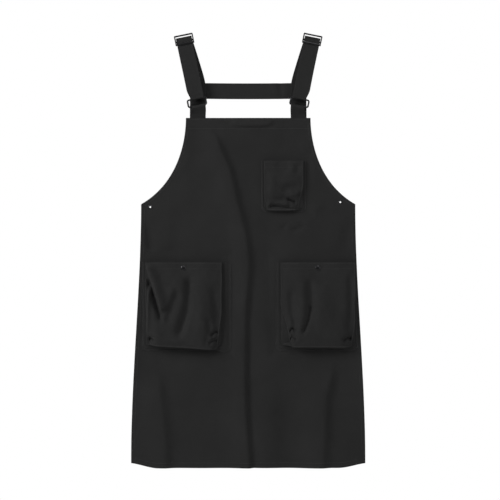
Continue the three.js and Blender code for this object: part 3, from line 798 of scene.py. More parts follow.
def webbing_material():
    """Polyester webbing, woven flat: close crosswise ribs, a smooth cord along each edge, a faint gloss."""
    if "black polyester webbing" in bpy.data.materials:
        return bpy.data.materials["black polyester webbing"]
    band = bpy.context.scene.apron_webbing
    m, shader = new_material("black polyester webbing")
    weave = node(m, "ShaderNodeAttribute", {"attribute_name": "weave", "attribute_type": "GEOMETRY"})
    split = node(m, "ShaderNodeSeparateXYZ", Vector=weave.outputs["Vector"])
    # Ribs are about 0.9 mm apart along the run and cords 1.2 mm across it. Both are drawn twice as coarse.
    rib_pitch, cord_pitch = 0.0018, 0.0024
    along = node(m, "ShaderNodeMath", {
        "operation": "MULTIPLY", 1: 2 * math.pi / rib_pitch}, i0=split.outputs["Y"])
    across = node(m, "ShaderNodeMath", {
        "operation": "MULTIPLY", 1: 2 * math.pi / cord_pitch}, i0=split.outputs["X"])
    rib = node(m, "ShaderNodeMath", {"operation": "SINE"}, i0=along.outputs[0])
    cord = node(m, "ShaderNodeMath", {"operation": "SINE"}, i0=across.outputs[0])
    cross = node(m, "ShaderNodeMath", {"operation": "MULTIPLY"}, i0=rib.outputs[0], i1=cord.outputs[0])
    from_middle = node(m, "ShaderNodeMath", {"operation": "ABSOLUTE"}, i0=split.outputs["X"])
    edge = band.width * MM / 2
    selvedge = node(m, "ShaderNodeMapRange", {
        "From Min": edge - 0.0052, "From Max": edge - 0.0040}, Value=from_middle.outputs[0])
    height = node(m, "ShaderNodeMix", {
        "data_type": "FLOAT"}, i0=selvedge.outputs[0], i2=cross.outputs[0], i3=cord.outputs[0])
    fade = node(m, "ShaderNodeTexNoise", {"Scale": 26.0, "Detail": 4.0}, Vector=weave.outputs["Vector"])
    mixed = node(m, "ShaderNodeMath", {"operation": "MULTIPLY_ADD", 1: 0.3, 2: 0.35}, i0=height.outputs[0])
    shade = node(m, "ShaderNodeMath", {"operation": "MULTIPLY"}, i0=mixed.outputs[0], i1=fade.outputs["Fac"])
    # Tops of ribs and cords take the lighter rib colour and their hollows the darker webbing colour: a
    # painted highlight and painted shade, varied at random by the fade noise.
    tone = node(m, "ShaderNodeValToRGB", {
        "stops": [(0.02, linear(band.colour)), (0.42, linear(band.rib_top_highlight_colour))]}, Fac=shade.outputs[0])
    join(m, tone.outputs["Color"], shader.inputs["Base Color"])
    rough = node(m, "ShaderNodeMapRange", {"To Min": 0.6, "To Max": 0.8}, Value=fade.outputs["Fac"])
    join(m, rough.outputs[0], shader.inputs["Roughness"])
    bump = node(m, "ShaderNodeBump", {"Strength": 0.6, "Distance": 0.0003}, Height=height.outputs[0])
    join(m, bump.outputs[0], shader.inputs["Normal"])
    shader.inputs["Specular IOR Level"].default_value = 0.14
    return m


def thread_material():
    """Corespun polyester thread: a tight twist with a slight gloss."""
    if "black corespun thread" in bpy.data.materials:
        return bpy.data.materials["black corespun thread"]
    m, shader = new_material("black corespun thread")
    place = node(m, "ShaderNodeTexCoord").outputs["Object"]
    twist = node(m, "ShaderNodeTexNoise", {"Scale": 1800.0, "Detail": 2.0}, Vector=place)
    cloth = bpy.context.scene.apron_cloth
    tone = node(m, "ShaderNodeValToRGB", {
        "stops": [(0.3, linear(cloth.thread)), (0.8, linear(cloth.worn_and_highlight_colour))]}, Fac=twist.outputs["Fac"])
    join(m, tone.outputs["Color"], shader.inputs["Base Color"])
    shader.inputs["Roughness"].default_value = 0.55
    shader.inputs["Specular IOR Level"].default_value = 0.35
    return m


def nickel_material():
    """Black nickel plated zinc, die cast and tumbled: dark mirror-like metal with soft scuffs."""
    if "black nickel plate" in bpy.data.materials:
        return bpy.data.materials["black nickel plate"]
    m, shader = new_material("black nickel plate")
    place = node(m, "ShaderNodeTexCoord").outputs["Object"]
    scuff = node(m, "ShaderNodeTexNoise", {"Scale": 420.0, "Detail": 5.0, "Roughness": 0.7}, Vector=place)
    patch = node(m, "ShaderNodeTexNoise", {"Scale": 70.0, "Detail": 3.0}, Vector=place)
    base = linear(bpy.context.scene.apron_metal.ring_colour)
    dark, light = ((*[c * share for c in base[:3]], 1) for share in (0.7, 1.15))
    tone = node(m, "ShaderNodeValToRGB", {"stops": [(0.3, dark), (0.75, light)]}, Fac=patch.outputs["Fac"])
    join(m, tone.outputs["Color"], shader.inputs["Base Color"])
    rough = node(m, "ShaderNodeMapRange", {"To Min": 0.22, "To Max": 0.42}, Value=scuff.outputs["Fac"])
    join(m, rough.outputs[0], shader.inputs["Roughness"])
    bump = node(m, "ShaderNodeBump", {"Strength": 0.15, "Distance": 0.00006}, Height=scuff.outputs["Fac"])
    join(m, bump.outputs[0], shader.inputs["Normal"])
    shader.inputs["Metallic"].default_value = 1.0
    return m


# ---------------------------------------------------------------- webbing


def webbing(name, at, across, widths=None, bow=0.0):
    """Flat webbing through points. across holds its crosswise directions, which may slant to the run."""
    band = bpy.context.scene.apron_webbing
    at, across = np.asarray(at, float), np.asarray(across, float)
    across = np.broadcast_to(across, at.shape).copy()
    across /= np.linalg.norm(across, axis=1, keepdims=True)
    along = np.gradient(at, axis=0)
    along /= np.linalg.norm(along, axis=1, keepdims=True)
    normal = np.cross(along, across)
    square = np.linalg.norm(normal, axis=1, keepdims=True)
    normal /= square
    widths = np.broadcast_to(band.width if widths is None else widths, len(at))
    bow = np.broadcast_to(bow, len(at))
    run = np.concatenate([[0], np.cumsum(np.linalg.norm(np.diff(at, axis=0), axis=1))])
    # Half the section, from the middle out: a round edge, a raised edge cord and the flat weave inside it.
    half_place = np.array([0.15, 0.45, 0.7, 0.88, 0.95, 0.985, 1])
    half_deep = np.array([1, 1, 1, 0.94, 1.12, 0.78, 0.3]) * band.thickness / 2
    place = np.concatenate([-half_place[::-1], half_place])
    deep = np.concatenate([half_deep[::-1], half_deep])
    points, weave = [], []
    for i in range(len(at)):
        middle = at[i] + np.outer(place * widths[i] / 2 / square[i], across[i])
        middle = middle + np.outer(bow[i] * (1 - place ** 2), normal[i])
        points += [middle + np.outer(deep, normal[i]), (middle - np.outer(deep, normal[i]))[::-1]]
        flat = np.stack([place * band.width / 2, np.full(len(place), run[i]), np.zeros(len(place))], -1)
        weave += [flat, flat[::-1]]
    faces = ring_faces(len(at), 2 * len(place))
    return piece(name, np.vstack(points), faces, webbing_material(), np.vstack(weave))


def leg_place(side, points):
    """Points in a front leg's own leaning frame, brought to the apron's frame."""
    band = bpy.context.scene.apron_webbing
    lean = side * band.lean
    x, y, z = np.atleast_2d(np.asarray(points, float)).T
    shoulder = side * SHOULDER_X
    return np.stack([shoulder + x * math.cos(lean) + z * math.sin(lean), y,
                     -x * math.sin(lean) + z * math.cos(lean)], -1)


def leg_across(side):
    """Crosswise direction of a front leg."""
    lean = side * bpy.context.scene.apron_webbing.lean
    return np.array([math.cos(lean), 0, -math.sin(lean)])


def bunched(z):
    """How bunched the webbing is at a place along the leg: 1 at its ring, and 0 from 34 mm away."""
    return smooth(-np.abs(np.asarray(z, float) + RING_DROP), -34, -7)


def bunched_width(tight):
    """Width of the webbing for a share of its bunching."""
    full = bpy.context.scene.apron_webbing.width
    return full - (full - BUNCHED_WIDTH) * tight


def strap_line(side, yz):
    """Middle line, crosswise directions, widths and shares of bunching of a front leg's run."""
    yz = resample(np.array(yz), 1.6)
    tight = bunched(yz[:, 1])
    x = -side * BUNCHED_SHIFT * tight + 0.35 * np.sin(yz[:, 1] / 31 + side)
    at = leg_place(side, np.column_stack([x, yz]))
    width = bunched_width(tight)
    return at, np.tile(leg_across(side), (len(at), 1)), width, tight


def upper_strap(side):
    """The strap from its ring loop up the front, over the shoulder and down to the back."""
    name = "left" if side < 0 else "right"
    loop_wide, loop_tall = (RETURN_Y - RUN_Y) / 2, 3.2
    fold_top = -7.5
    front = [(RETURN_Y, RETURN_START), (RETURN_Y, LOOP_FLOOR + loop_tall)]
    front += arc(RING_Y, LOOP_FLOOR + loop_tall, loop_wide, loop_tall, 0, -180, 13)
    front += [(RUN_Y, -120), (RUN_Y, -30), (RUN_Y, fold_top)]
    front += arc(0, fold_top, BACK_Y, BACK_Y, 180, 0, 15)
    at, across, width, tight = strap_line(side, front)
    end = at[-1]
    # The back leg leans in further than the front leg, then straightens where the cross band holds it.
    points = [end, (side * 147.6, BACK_Y, -24), (side * 135, BACK_Y, -64), (side * 123.5, BACK_Y, -104),
              (side * BACK_X, BACK_Y, BAND_Z), (side * BACK_X, BACK_Y, SPLIT_Z)]
    back = spline(points, 3.0)[1:]
    down = (end[2] - back[:, 2]) / (end[2] - SPLIT_Z)
    lean = bpy.context.scene.apron_webbing.lean
    tilt = np.cos(down * math.pi / 2) * (lean + 0.3 * np.sin(down * math.pi))
    back_across = np.stack([np.cos(tilt), np.zeros(len(tilt)), -side * np.sin(tilt)], -1)
    strap = webbing(
        f"upper_strap_{name}", np.vstack([at, back]), np.vstack([across, back_across]),
        np.concatenate([width, bunched_width(np.zeros(len(back)))]),
        np.concatenate([0.7 * tight, np.zeros(len(back))]))
    settle(strap, "harness", "webbing", f"shoulder_strap_{name}")
    # The return leg is a piece of its own; on the real strap it is the part that shortens when the adjuster
    # slides down.
    returning, across, width, _ = strap_line(side, [(RETURN_Y, RETURN_START), (RETURN_Y, RETURN_END)])
    leg = webbing(f"return_leg_{name}", returning, across, width)
    settle(leg, "harness", "webbing", f"shoulder_strap_{name}")
    anchor = leg_place(side, (0, RETURN_Y, RETURN_START))[0] * MM
    axis = leg_place(side, (0, 0, 1))[0] - leg_place(side, (0, 0, 0))[0]
    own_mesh(leg)


def bib_tab(side):
    """The webbing loop over the ring's lower bar, sewn behind the bib's top edge."""
    name = "left" if side < 0 else "right"
    # Heights of the ring's lower bar and of the tab's sewn ends.
    bar = -RING_DROP - 8.8
    foot = -214.4
    # Up from the seam behind the bib's edge, over the ring's lower bar, and back down to the seam.
    yz = [(1.25, foot), (1.25, bar - 21), (-6.6, bar - 6.5), (RUN_Y, bar - 3), (RUN_Y, bar - 0.4)]
    yz += arc(RING_Y, bar - 0.4, (RETURN_Y - RUN_Y) / 2, 3.05, 180, 0, 11)
    yz += [(RETURN_Y, bar - 3.5), (1.2, bar - 12), (2.35, bar - 21), (2.35, foot)]
    yz = spline(np.array(yz), 1.4)
    yz[:, 1] = np.maximum(yz[:, 1], foot)
    tight = smooth(yz[:, 1], bar - 19, bar - 3)
    on_leg = leg_place(side, np.column_stack([np.zeros(len(yz)), yz]))
    x = side * (BACK_X - BUNCHED_SHIFT * tight)
    at = np.column_stack([x, yz[:, 0], yz[:, 1] + (on_leg[:, 2] - yz[:, 1]) * tight])
    across = leg_across(side) * tight[:, None] + np.array([1.0, 0, 0]) * (1 - tight[:, None])
    tab = webbing(f"tab_{name}", at, across, bunched_width(tight), 0.5 * tight)
    return settle(tab, "apron", "webbing", f"bib_tab_{name}")


def lower_back_strap(side):
    """The strap that falls behind the bib, turns at a slant and runs up to the side corner."""
    name = "left" if side < 0 else "right"
    # The turn's axis halves the angle between the hanging run and the rising one.
    turn, radius, settle_in = SEWN_TURN / 2, 8.0, 34.0
    axis = np.array([math.cos(turn), 0, -math.sin(turn)])
    below = np.array([-math.sin(turn), 0, -math.cos(turn)])
    up = np.array([math.sin(SEWN_TURN), 0, math.cos(SEWN_TURN)])
    square = np.array([math.cos(SEWN_TURN), 0, -math.sin(SEWN_TURN)])
    shift = axis * radius * math.pi * math.tan(turn)
    reach = (SEWN_X - BACK_X - shift[0]) / up[0]
    bend_end = np.array([SEWN_X, SEWN_Y, SEWN_Z]) - up * reach
    bend_start = bend_end - shift + np.array([0, 2 * radius, 0])
    at, across = [], []
    # Down behind the bib, round the turn, and up to the side corner.
    for t in np.linspace(0, 1, 110):
        z = SPLIT_Z + (bend_start[2] - SPLIT_Z) * t
        y = BACK_Y + (bend_start[1] - BACK_Y) * smooth(t, 0.1, 1)
        near = smooth(z, bend_start[2], bend_start[2] + settle_in)
        at.append((BACK_X + 0.5 * math.sin(z / 46), y + 0.4 * math.sin(z / 29) * near, z))
        across.append(axis + (np.array([1.0, 0, 0]) - axis) * near)
    for t in np.linspace(0, 1, 26)[1:]:
        swing = math.pi * t
        point = bend_start + shift * t + below * radius * math.sin(swing)
        at.append(point + np.array([0, radius * (math.cos(swing) - 1), 0]))
        across.append(axis)
    for t in np.linspace(0, 1, 40)[1:]:
        far = min(reach * t / settle_in, 1)
        at.append(bend_end + up * reach * t)
        across.append(axis + (square - axis) * far)
    flip = np.array([side, 1, 1])
    strap = webbing(f"lower_strap_{name}", np.array(at) * flip, np.array(across) * flip)
    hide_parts(f"back_strap_{name}")
    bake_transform(strap)
    return strap


def box_stitch(centre, right, up, half_wide, half_tall):
    """Seams of a sewn box with a cross in it."""
    centre = np.array(centre, float)
    wide, tall = np.array(right, float) * half_wide, np.array(up, float) * half_tall
    corner = [centre + a * wide + b * tall for a, b in ((-1, -1), (1, -1), (1, 1), (-1, 1))]
    return [np.array([corner[a], corner[b]]) for a, b in ((0, 1), (1, 2), (2, 3), (3, 0), (0, 2), (1, 3))]


# ---------------------------------------------------------------- operators


class APRON_OT_stage(Operator):
    """Sets the camera square in front, soft lights, a white room and a pale floor"""

    bl_idname = "apron.stage"
    bl_label = "Stage"

    def execute(self, context):
        stage = context.scene.apron_stage
        low, high = (np.array(v) for v in CAD_BOX)
        middle = (low + high) / 2
        lens = bpy.data.cameras.new("camera")
        sensor, view_width = 36, 1.2
        lens.lens = stage.lens
        lens.sensor_width = sensor
        lens.clip_start = 0.05
        lens.clip_end = 40
        camera = bpy.data.objects.new("camera", lens)
        # The view takes in 1.2 m at the apron, whose middle stands a little left of the view's and below it.
        camera.location = (middle[0] + 0.0043, -view_width * stage.lens / sensor, middle[2] + 0.0015)
        camera.rotation_euler = (math.pi / 2, 0, 0)
        context.scene.collection.objects.link(camera)
        context.scene.camera = camera
        context.scene.view_settings.view_transform = "Standard"
        self.light(context, "key", (-2.4, -1.5, 0.7), 1.2, stage.key_power)
        self.light(context, "top", (0.3, -1.7, 1.5), 1.2, stage.top_power)
        self.light(context, "fill", (1.9, -1.6, -0.1), 1.2, stage.fill_power)
        self.light(context, "back_fill", (1.5, 2.0, 0.8), 1.4, stage.back_power)
        world = context.scene.world or bpy.data.worlds.new("room")
        context.scene.world = world
        world.use_nodes = True
        background = world.node_tree.nodes["Background"]
        background.inputs["Color"].default_value = (1, 1, 1, 1)
        # The room is seen as plain white, but lights the apron more softly than that.
        links, nodes = world.node_tree.links, world.node_tree.nodes
        seen, strength = nodes.new("ShaderNodeLightPath"), nodes.new("ShaderNodeMapRange")
        strength.inputs["To Min"].default_value = stage.ambient
        links.new(seen.outputs["Is Camera Ray"], strength.inputs["Value"])
        links.new(strength.outputs[0], background.inputs["Strength"])
        self.floor(context)
        return {"FINISHED"}

    def light(self, context, name, place, size, power):
        """A soft square light that faces the middle of the apron."""
        data = bpy.data.lights.new(name, "AREA")
        data.shape, data.size, data.energy = "SQUARE", size, power
        lamp = bpy.data.objects.new(name, data)
        lamp.location = place
        aim = np.array([0, 0, -0.5]) - np.array(place)
        tip = math.atan2(math.hypot(aim[0], aim[1]), -aim[2])
        lamp.rotation_euler = (tip, 0, math.atan2(aim[1], aim[0]) - math.pi / 2)
        context.scene.collection.objects.link(lamp)

    def floor(self, context):
        """A plain pale floor, matt painted."""
        m, shader = new_material("matt pale floor paint")
        place = node(m, "ShaderNodeTexCoord").outputs["Object"]
        mottle = node(m, "ShaderNodeTexNoise", {"Scale": 3.0, "Detail": 4.0}, Vector=place)
        tone = node(m, "ShaderNodeValToRGB", {
            "stops": [(0.2, linear("#E9E9E8")), (0.8, linear("#F2F2F1"))]}, Fac=mottle.outputs["Fac"])
        join(m, tone.outputs["Color"], shader.inputs["Base Color"])
        shader.inputs["Roughness"].default_value = 0.8
        drop = -context.scene.apron_stage.floor_drop / MM
        side, front, back = 1500, -1500, 1400
        corners = ((-side, front), (side, front), (side, back), (-side, back))
        points = [(x, y, z) for z in (drop, drop - 20) for x, y in corners]
        faces = [(0, 1, 2, 3), (7, 6, 5, 4), (0, 4, 5, 1), (1, 5, 6, 2), (2, 6, 7, 3), (3, 7, 4, 0)]
        piece("floor", points, faces, m, sharp=30)


class APRON_OT_front_panel(Operator):
    """Makes the long front panel with its hems, facing, bindings, patches and topstitching"""

    bl_idname = "apron.front_panel"
    bl_label = "Front panel"

    def execute(self, context):
        cloth = context.scene.apron_cloth
        low, top = PANEL_LOW[2], PANEL_HIGH[2]
        # Columns are spaced for a width of 500 mm, closest at the side hems.
        columns = graded(-250, 250, cloth.grid, 1.0, [-250, -241, 241, 250]) / 250
        rows = graded(top, low, cloth.grid, 1.0, [top, top - 26, cloth.corner_z, low + 13, low])
        z = np.repeat(rows[:, None], len(columns), 1)
        half = half_width(np.maximum(z, low + cloth.hem_rise))
        x = half * columns[None, :]
        z = z + (hem_z(x) - low) * smooth(-z, 900, -low)
        front = np.stack([x, panel_front(x, z), z], -1)
        back = np.stack([x, panel_back(x, z), z], -1)
        panel = piece("panel", *closed_grid(front, back), twill_material())
        hole_radius = 2.5
        open_holes(panel, [self.eyelet_place(side) for side in ("left", "right")], hole_radius)
        settle(panel, "apron", "twill", "front_panel")
        extras = [self.facing(), *self.bindings(), *self.patches(), self.topstitching()]
        return {"FINISHED"}

    def eyelet_place(self, side):
        """x and z of an eyelet's centre."""
        low, high = node_box(f"eyelet_{side}")
        return (low[0] + high[0]) / 2, (low[2] + high[2]) / 2

    def facing(self):
        """The turned facing behind the bib's top edge; it bulges over the two tabs."""
        low, high = node_box("bib_top_facing")
        x, z = np.meshgrid(np.arange(low[0], high[0] + 0.1, 2.93), np.linspace(high[2], low[2], 14))
        tab_half, bulge, deepest = 24, 2.7, 4.6
        over = smooth(tab_half - np.abs(np.abs(x) - BACK_X), 0, 6)
        y = panel_back(x, z) + 0.5 + bulge * over * smooth(z, -224, -214) + 0.2 * ripple(x, z, 8, 30)
        grid = np.stack([x, np.minimum(y, deepest), z], -1)
        return settle(cloth_piece("facing", grid, twill_material()), "apron", "twill", "bib_top_facing")

    def bindings(self):
        """Cotton tape sewn behind each armhole edge."""
        armhole, _ = half_outline()
        below_facing = armhole[:, 1] < -262
        line = resample(armhole[below_facing], 2.5)
        across = np.array([1.0, 3.2, 5.5, 7.8, 10.2])
        spots = line[:, None, :] + beside(line)[:, None, :] * across[None, :, None]
        for side, name in ((-1, "left"), (1, "right")):
            x, z = side * spots[..., 0], spots[..., 1]
            grid = np.stack([x, panel_back(x, z) + 0.55 + 0.12 * np.sin(z / 5), z], -1)
            if side > 0:
                grid = grid[:, ::-1]
            tape = cloth_piece(f"binding_{name}", grid, tape_material(), 0.35, 0.35)
            yield settle(tape, "apron", "tape", f"armhole_binding_{name}")

    def patches(self):
        """A reinforcing patch behind each side corner, under the strap's sewn end."""
        u, v = np.meshgrid(np.linspace(-21, 21, 18), np.linspace(4, -30, 15))
        for side, name in ((-1, "left"), (1, "right")):
            x = side * (SEWN_X + u * math.cos(SEWN_TURN) + v * math.sin(SEWN_TURN))
            z = SEWN_Z - u * math.sin(SEWN_TURN) + v * math.cos(SEWN_TURN)
            grid = np.stack([x, panel_back(x, z) + 0.5, z], -1)
            if side < 0:
                grid = grid[:, ::-1]
            yield settle(cloth_piece(f"patch_{name}", grid, twill_material()), "apron", "twill",
                         f"corner_patch_{name}")

    def topstitching(self):
        """Lockstitch along every hem."""
        armhole, side = half_outline()
        top_reach, hem_reach = 146, 272
        seams = []

        def seam(x, z):
            x, z = np.asarray(x, float), np.asarray(z, float)
            seams.append(np.column_stack([x, panel_front(x, z) - 0.05, z]))

        for away in (EDGE_STITCH, SEWN_IN["top"]):
            x = np.linspace(-top_reach, top_reach, 120)
            seam(x, np.full(x.shape, PANEL_HIGH[2] - away))
        for line, away in ((armhole[3:-2], SEWN_IN["armhole"]), (side[1:-3], SEWN_IN["side"])):
            inner = line + beside(line) * away
            for mirror in (-1, 1):
                seam(mirror * inner[:, 0], inner[:, 1])
        x = np.linspace(-hem_reach, hem_reach, 160)
        seam(x, hem_z(x) + SEWN_IN["bottom"])
        return stitches("panel_topstitching", seams, thread_material(), "apron")


class APRON_OT_shoulder_straps(Operator):
    """Makes the webbing shoulder straps, their return legs, the bib's tabs and the cross band"""

    bl_idname = "apron.shoulder_straps"
    bl_label = "Shoulder straps"

    def execute(self, context):
        for side in (-1, 1):
            upper_strap(side)
            bib_tab(side)
            lower_back_strap(side)
        self.band()
        seams = []
        for side in (-1, 1):
            seams += box_stitch((side * BACK_X, BAND_Y + 0.6, BAND_Z), (1, 0, 0), (0, 0, 1), 15.5, 15.5)
        stitches("band_stitching", seams, thread_material(), "harness", out=(0, 1, 0))
        seams = []
        for side in (-1, 1):
            right = np.array([side * math.cos(SEWN_TURN), 0, -math.sin(SEWN_TURN)])
            up = np.array([side * math.sin(SEWN_TURN), 0, math.cos(SEWN_TURN)])
            centre = np.array([side * SEWN_X, SEWN_Y + 0.6, SEWN_Z]) - up * 13
            seams += box_stitch(centre, right, up, 15.5, 10.5)
        stitches("corner_stitching", seams, thread_material(), "apron", out=(0, 1, 0))
        return {"FINISHED"}

    def band(self):
        """The cross band that joins the two straps behind the neck, with a slight crease and sag."""
        x = np.linspace(-140, 140, 141)
        slack = np.clip(1 - (x / BACK_X) ** 2, 0, 1)
        crease = np.exp(-((x - 78) / 7) ** 2) - 0.5 * np.exp(-((x - 64) / 9) ** 2)
        at = np.stack([x, BAND_Y + 1.6 * slack + 1.2 * crease, BAND_Z - 0.8 * slack], -1)
        across = np.stack([np.zeros(len(x)), 0.04 * crease, np.ones(len(x))], -1)
        settle(webbing("back_band", at, across), "harness", "webbing", "cross_back_band")


class APRON_OT_strap_metal(Operator):
    """Makes the rings, the slide adjusters and the webbing ends sewn round them"""

    bl_idname = "apron.strap_metal"
    bl_label = "Rings and adjusters"

    def execute(self, context):
        for side, name in ((-1, "left"), (1, "right")):
            self.ring(side, name)
            self.adjuster(side, name)
            self.strap_end(side, name)
        return {"FINISHED"}

    def on_leg(self, side, shape, drop):
        """A shape made round the origin, placed along a front leg."""
        points, faces = shape
        return leg_place(side, points + np.array([0, 0, drop])), faces

    def ring(self, side, name):
        """A rectangular ring bent from round wire."""
        wire = bpy.context.scene.apron_metal.wire
        half_x, half_z, corner = 24 - wire / 2, 10.5 - wire / 2, 3.6
        path = []
        for cx, cz, start in ((1, 1, 0), (-1, 1, 90), (-1, -1, 180), (1, -1, 270)):
            for a in np.radians(np.linspace(start, start + 90, 9)):
                path.append((cx * (half_x - corner) + corner * math.cos(a), 0,
                             cz * (half_z - corner) + corner * math.sin(a)))
        bar = tube(np.array(path) + np.array([0, RING_Y, 0]), wire / 2, around=18, closed=True)
        ring = piece(f"wire_ring_{name}", *self.on_leg(side, bar, -RING_DROP), nickel_material(), sharp=60)
        settle(ring, f"ring_{name}", "hardware", f"ring_{name}")

    def adjuster(self, side, name):
        """A die cast slide: two rails, a thin top bar, a broad lower bar and a centre bar."""
        reach = 21.4
        z = np.linspace(-12.2, 12.2, 25)
        dip = 3.4 * np.exp(-((z + 3) / 5.2) ** 2)
        ends = np.clip((12.9 - np.abs(z)) / 2.2, 0.35, 1) ** 0.6
        shapes = []
        for s in (-1, 1):
            rail = np.stack([np.full(z.shape, s * reach), ADJUSTER_Y + dip, z], -1)
            shapes.append(tube(rail, 1.55 * ends, up=(1, 0, 0)))
        x = np.linspace(-reach, reach, 23)
        belly = 1 - 0.18 * (x / reach) ** 2
        for y, height, radii, around, squash in (
                (ADJUSTER_Y, 10.5, 1.9, 14, 0.7),
                (ADJUSTER_Y + 0.1, -9.6, 2.7 * belly, 20, 0.42),
                (CENTRE_BAR_Y, CENTRE_BAR_Z - ADJUSTER_Z, 1.9, 14, 0.42)):
            bar = np.stack([x, np.full(x.shape, y), np.full(x.shape, height)], -1)
            shapes.append(tube(bar, radii, around=around, squash=squash))
        shape = self.on_leg(side, merged(*shapes), ADJUSTER_Z)
        slide = piece(f"slide_{name}", *shape, nickel_material(), sharp=60)
        settle(slide, f"adjuster_{name}", "hardware", f"adjuster_{name}")

    def strap_end(self, side, name):
        """The webbing's end, folded round the centre bar and sewn to itself."""
        y, z = CENTRE_BAR_Y, CENTRE_BAR_Z
        yz = [(y - 0.56, z - 25), (y - 0.58, z - 8), (y - 1.65, z - 1.5)]
        yz += arc(y, z, 1.65, 2.85, 180, 0, 11)
        yz += [(y + 1.65, z - 1.5), (y + 0.58, z - 8), (y + 0.56, z - 25)]
        yz = resample(np.array(yz), 0.9)
        at = leg_place(side, np.column_stack([np.zeros(len(yz)), yz]))
        end = webbing(f"sewn_end_{name}", at, leg_across(side))
        settle(end, f"adjuster_{name}", "webbing", f"strap_end_{name}")
        right = leg_across(side)
        up = leg_place(side, (0, 0, 1))[0] - leg_place(side, (0, 0, 0))[0]
        centre = leg_place(side, (0, y + 1.15, z - 17))[0]
        seams = box_stitch(centre, right, up, 15, 6)[:4]
        stitches(f"end_stitching_{name}", seams, thread_material(), f"adjuster_{name}", out=(0, 1, 0))


class APRON_OT_eyelets(Operator):
    """Makes the two open eyelets at the side corners, each with its washer"""

    bl_idname = "apron.eyelets"
    bl_label = "Eyelets"

    def execute(self, context):
        for name in ("left", "right"):
            low, high = node_box(f"eyelet_{name}")
            centre = (low + high) / 2
            centre[1] = float(drape(centre[0], centre[2]))
            half = (high[0] - low[0]) / 2
            shell = [(2.1, -1.4), (2.1, 0.9), (2.35, 1.45), (3.0, 1.68), (3.9, 1.5), (half, 0.95),
                     (half, 0.72), (3.7, 0.9), (2.75, 0.85), (2.75, -1.4)]
            washer = [(2.8, -1.45), (2.8, -0.7), (half, -0.6), (half, -0.8), (3.7, -1.5)]
            for part, profile, replaced in (
                    ("shell", shell, f"eyelet_{name}"), ("back", washer, f"eyelet_washer_{name}")):
                shape = turned_ring(profile, centre)
                settle(piece(f"eyelet_{part}_{name}", *shape, nickel_material(), sharp=45),
                       "apron", "hardware", replaced)
        return {"FINISHED"}


def pocket_surface(name, x, z):
    """y of the middle of a pocket front's cloth, and how pinched its corners are, at places given flat."""
    p = POCKETS[name]
    tall = p["mouth"] - p["bottom"]
    # u runs from -1 at the left side to 1 at the right, and v from 0 at the mouth to 1 at the bottom.
    u, v = (x - p["x"]) / p["half"], (p["mouth"] - z) / tall
    from_side, from_foot = (1 - np.abs(u)) * p["half"], (1 - v) * tall
    # The front stands off the panel by its gusset, more towards the bottom, and rolls back at its edges.
    full = p["deep"] - bpy.context.scene.apron_cloth.thickness / 2 - MOUTH_STAND
    side_roll = 1 - 0.62 * np.exp(-(from_side / 17) ** 1.6)
    foot_roll = 1 - 0.32 * np.exp(-(from_foot / 14) ** 1.6)
    lean = MOUTH_STAND + full * np.clip(v, 0, 1) ** 0.85 * side_roll * foot_roll * p["body"]
    pinch = np.exp(-(from_side / 17) ** 2 - (from_foot / 24) ** 2)
    edge = np.exp(-(from_side / 9) ** 2)
    # The mouth gapes on both sides of the snap, and the cloth below it bellies out a little.
    gape = p["sag"] * 0.42 * np.sin(math.pi * np.clip(np.abs(u), 0, 1)) ** 2 * np.exp(-(v / 0.22) ** 2)
    belly = 2.2 * np.cos(u * math.pi / 2) ** 1.2 * np.sin(math.pi * np.clip(v, 0, 1))
    height = sum(fold(x, z, path, rise, a, b, f) for path, rise, a, b, f in p["folds"])
    height = height + 0.35 * ripple(x, z, 11, 40) + 0.16 * ripple(x, z, 12, 15)
    # Folds die out at the snap and at the edges, where the cloth is held.
    snap = smooth(np.hypot(x - p["x"], z - p["mouth"] + SNAP_DROP), 9, 22)
    rim = smooth(v * tall, 0, 16) * smooth(from_foot, 0, 9) * smooth(from_side, 0, 8)
    strength = bpy.context.scene.apron_cloth.fold_strength * p["creased"]
    y = -lean + p["flare"] * pinch + 1.0 * edge * v - (gape + belly) * snap - strength * height * snap * rim
    return y, pinch


def pocket_point(name, x, z):
    """A pocket front's middle surface, with its pinched corners drawn in and its lower edge curved."""
    p = POCKETS[name]
    y, pinch = pocket_surface(name, x, z)
    u = (x - p["x"]) / p["half"]
    v = (p["mouth"] - z) / (p["mouth"] - p["bottom"])
    wave = 0.8 * np.sin(z / 13 + p["x"]) * smooth(v, 0.1, 0.5)
    bow = p["sag"] * 0.22 * (u ** 2 - 0.6) * (v ** 3) + (p["slant"] * (u + 1) / 2 + p["drop"]) * v ** 3
    tuck = np.where(u < 0, p["tuck"][0], p["tuck"][1]) * smooth(v, 0.45, 0.9) * np.abs(u) ** 3
    return np.stack([x - np.sign(u) * (5.0 * pinch + tuck) + wave * u * u, y, z - bow + 2.5 * pinch], -1)


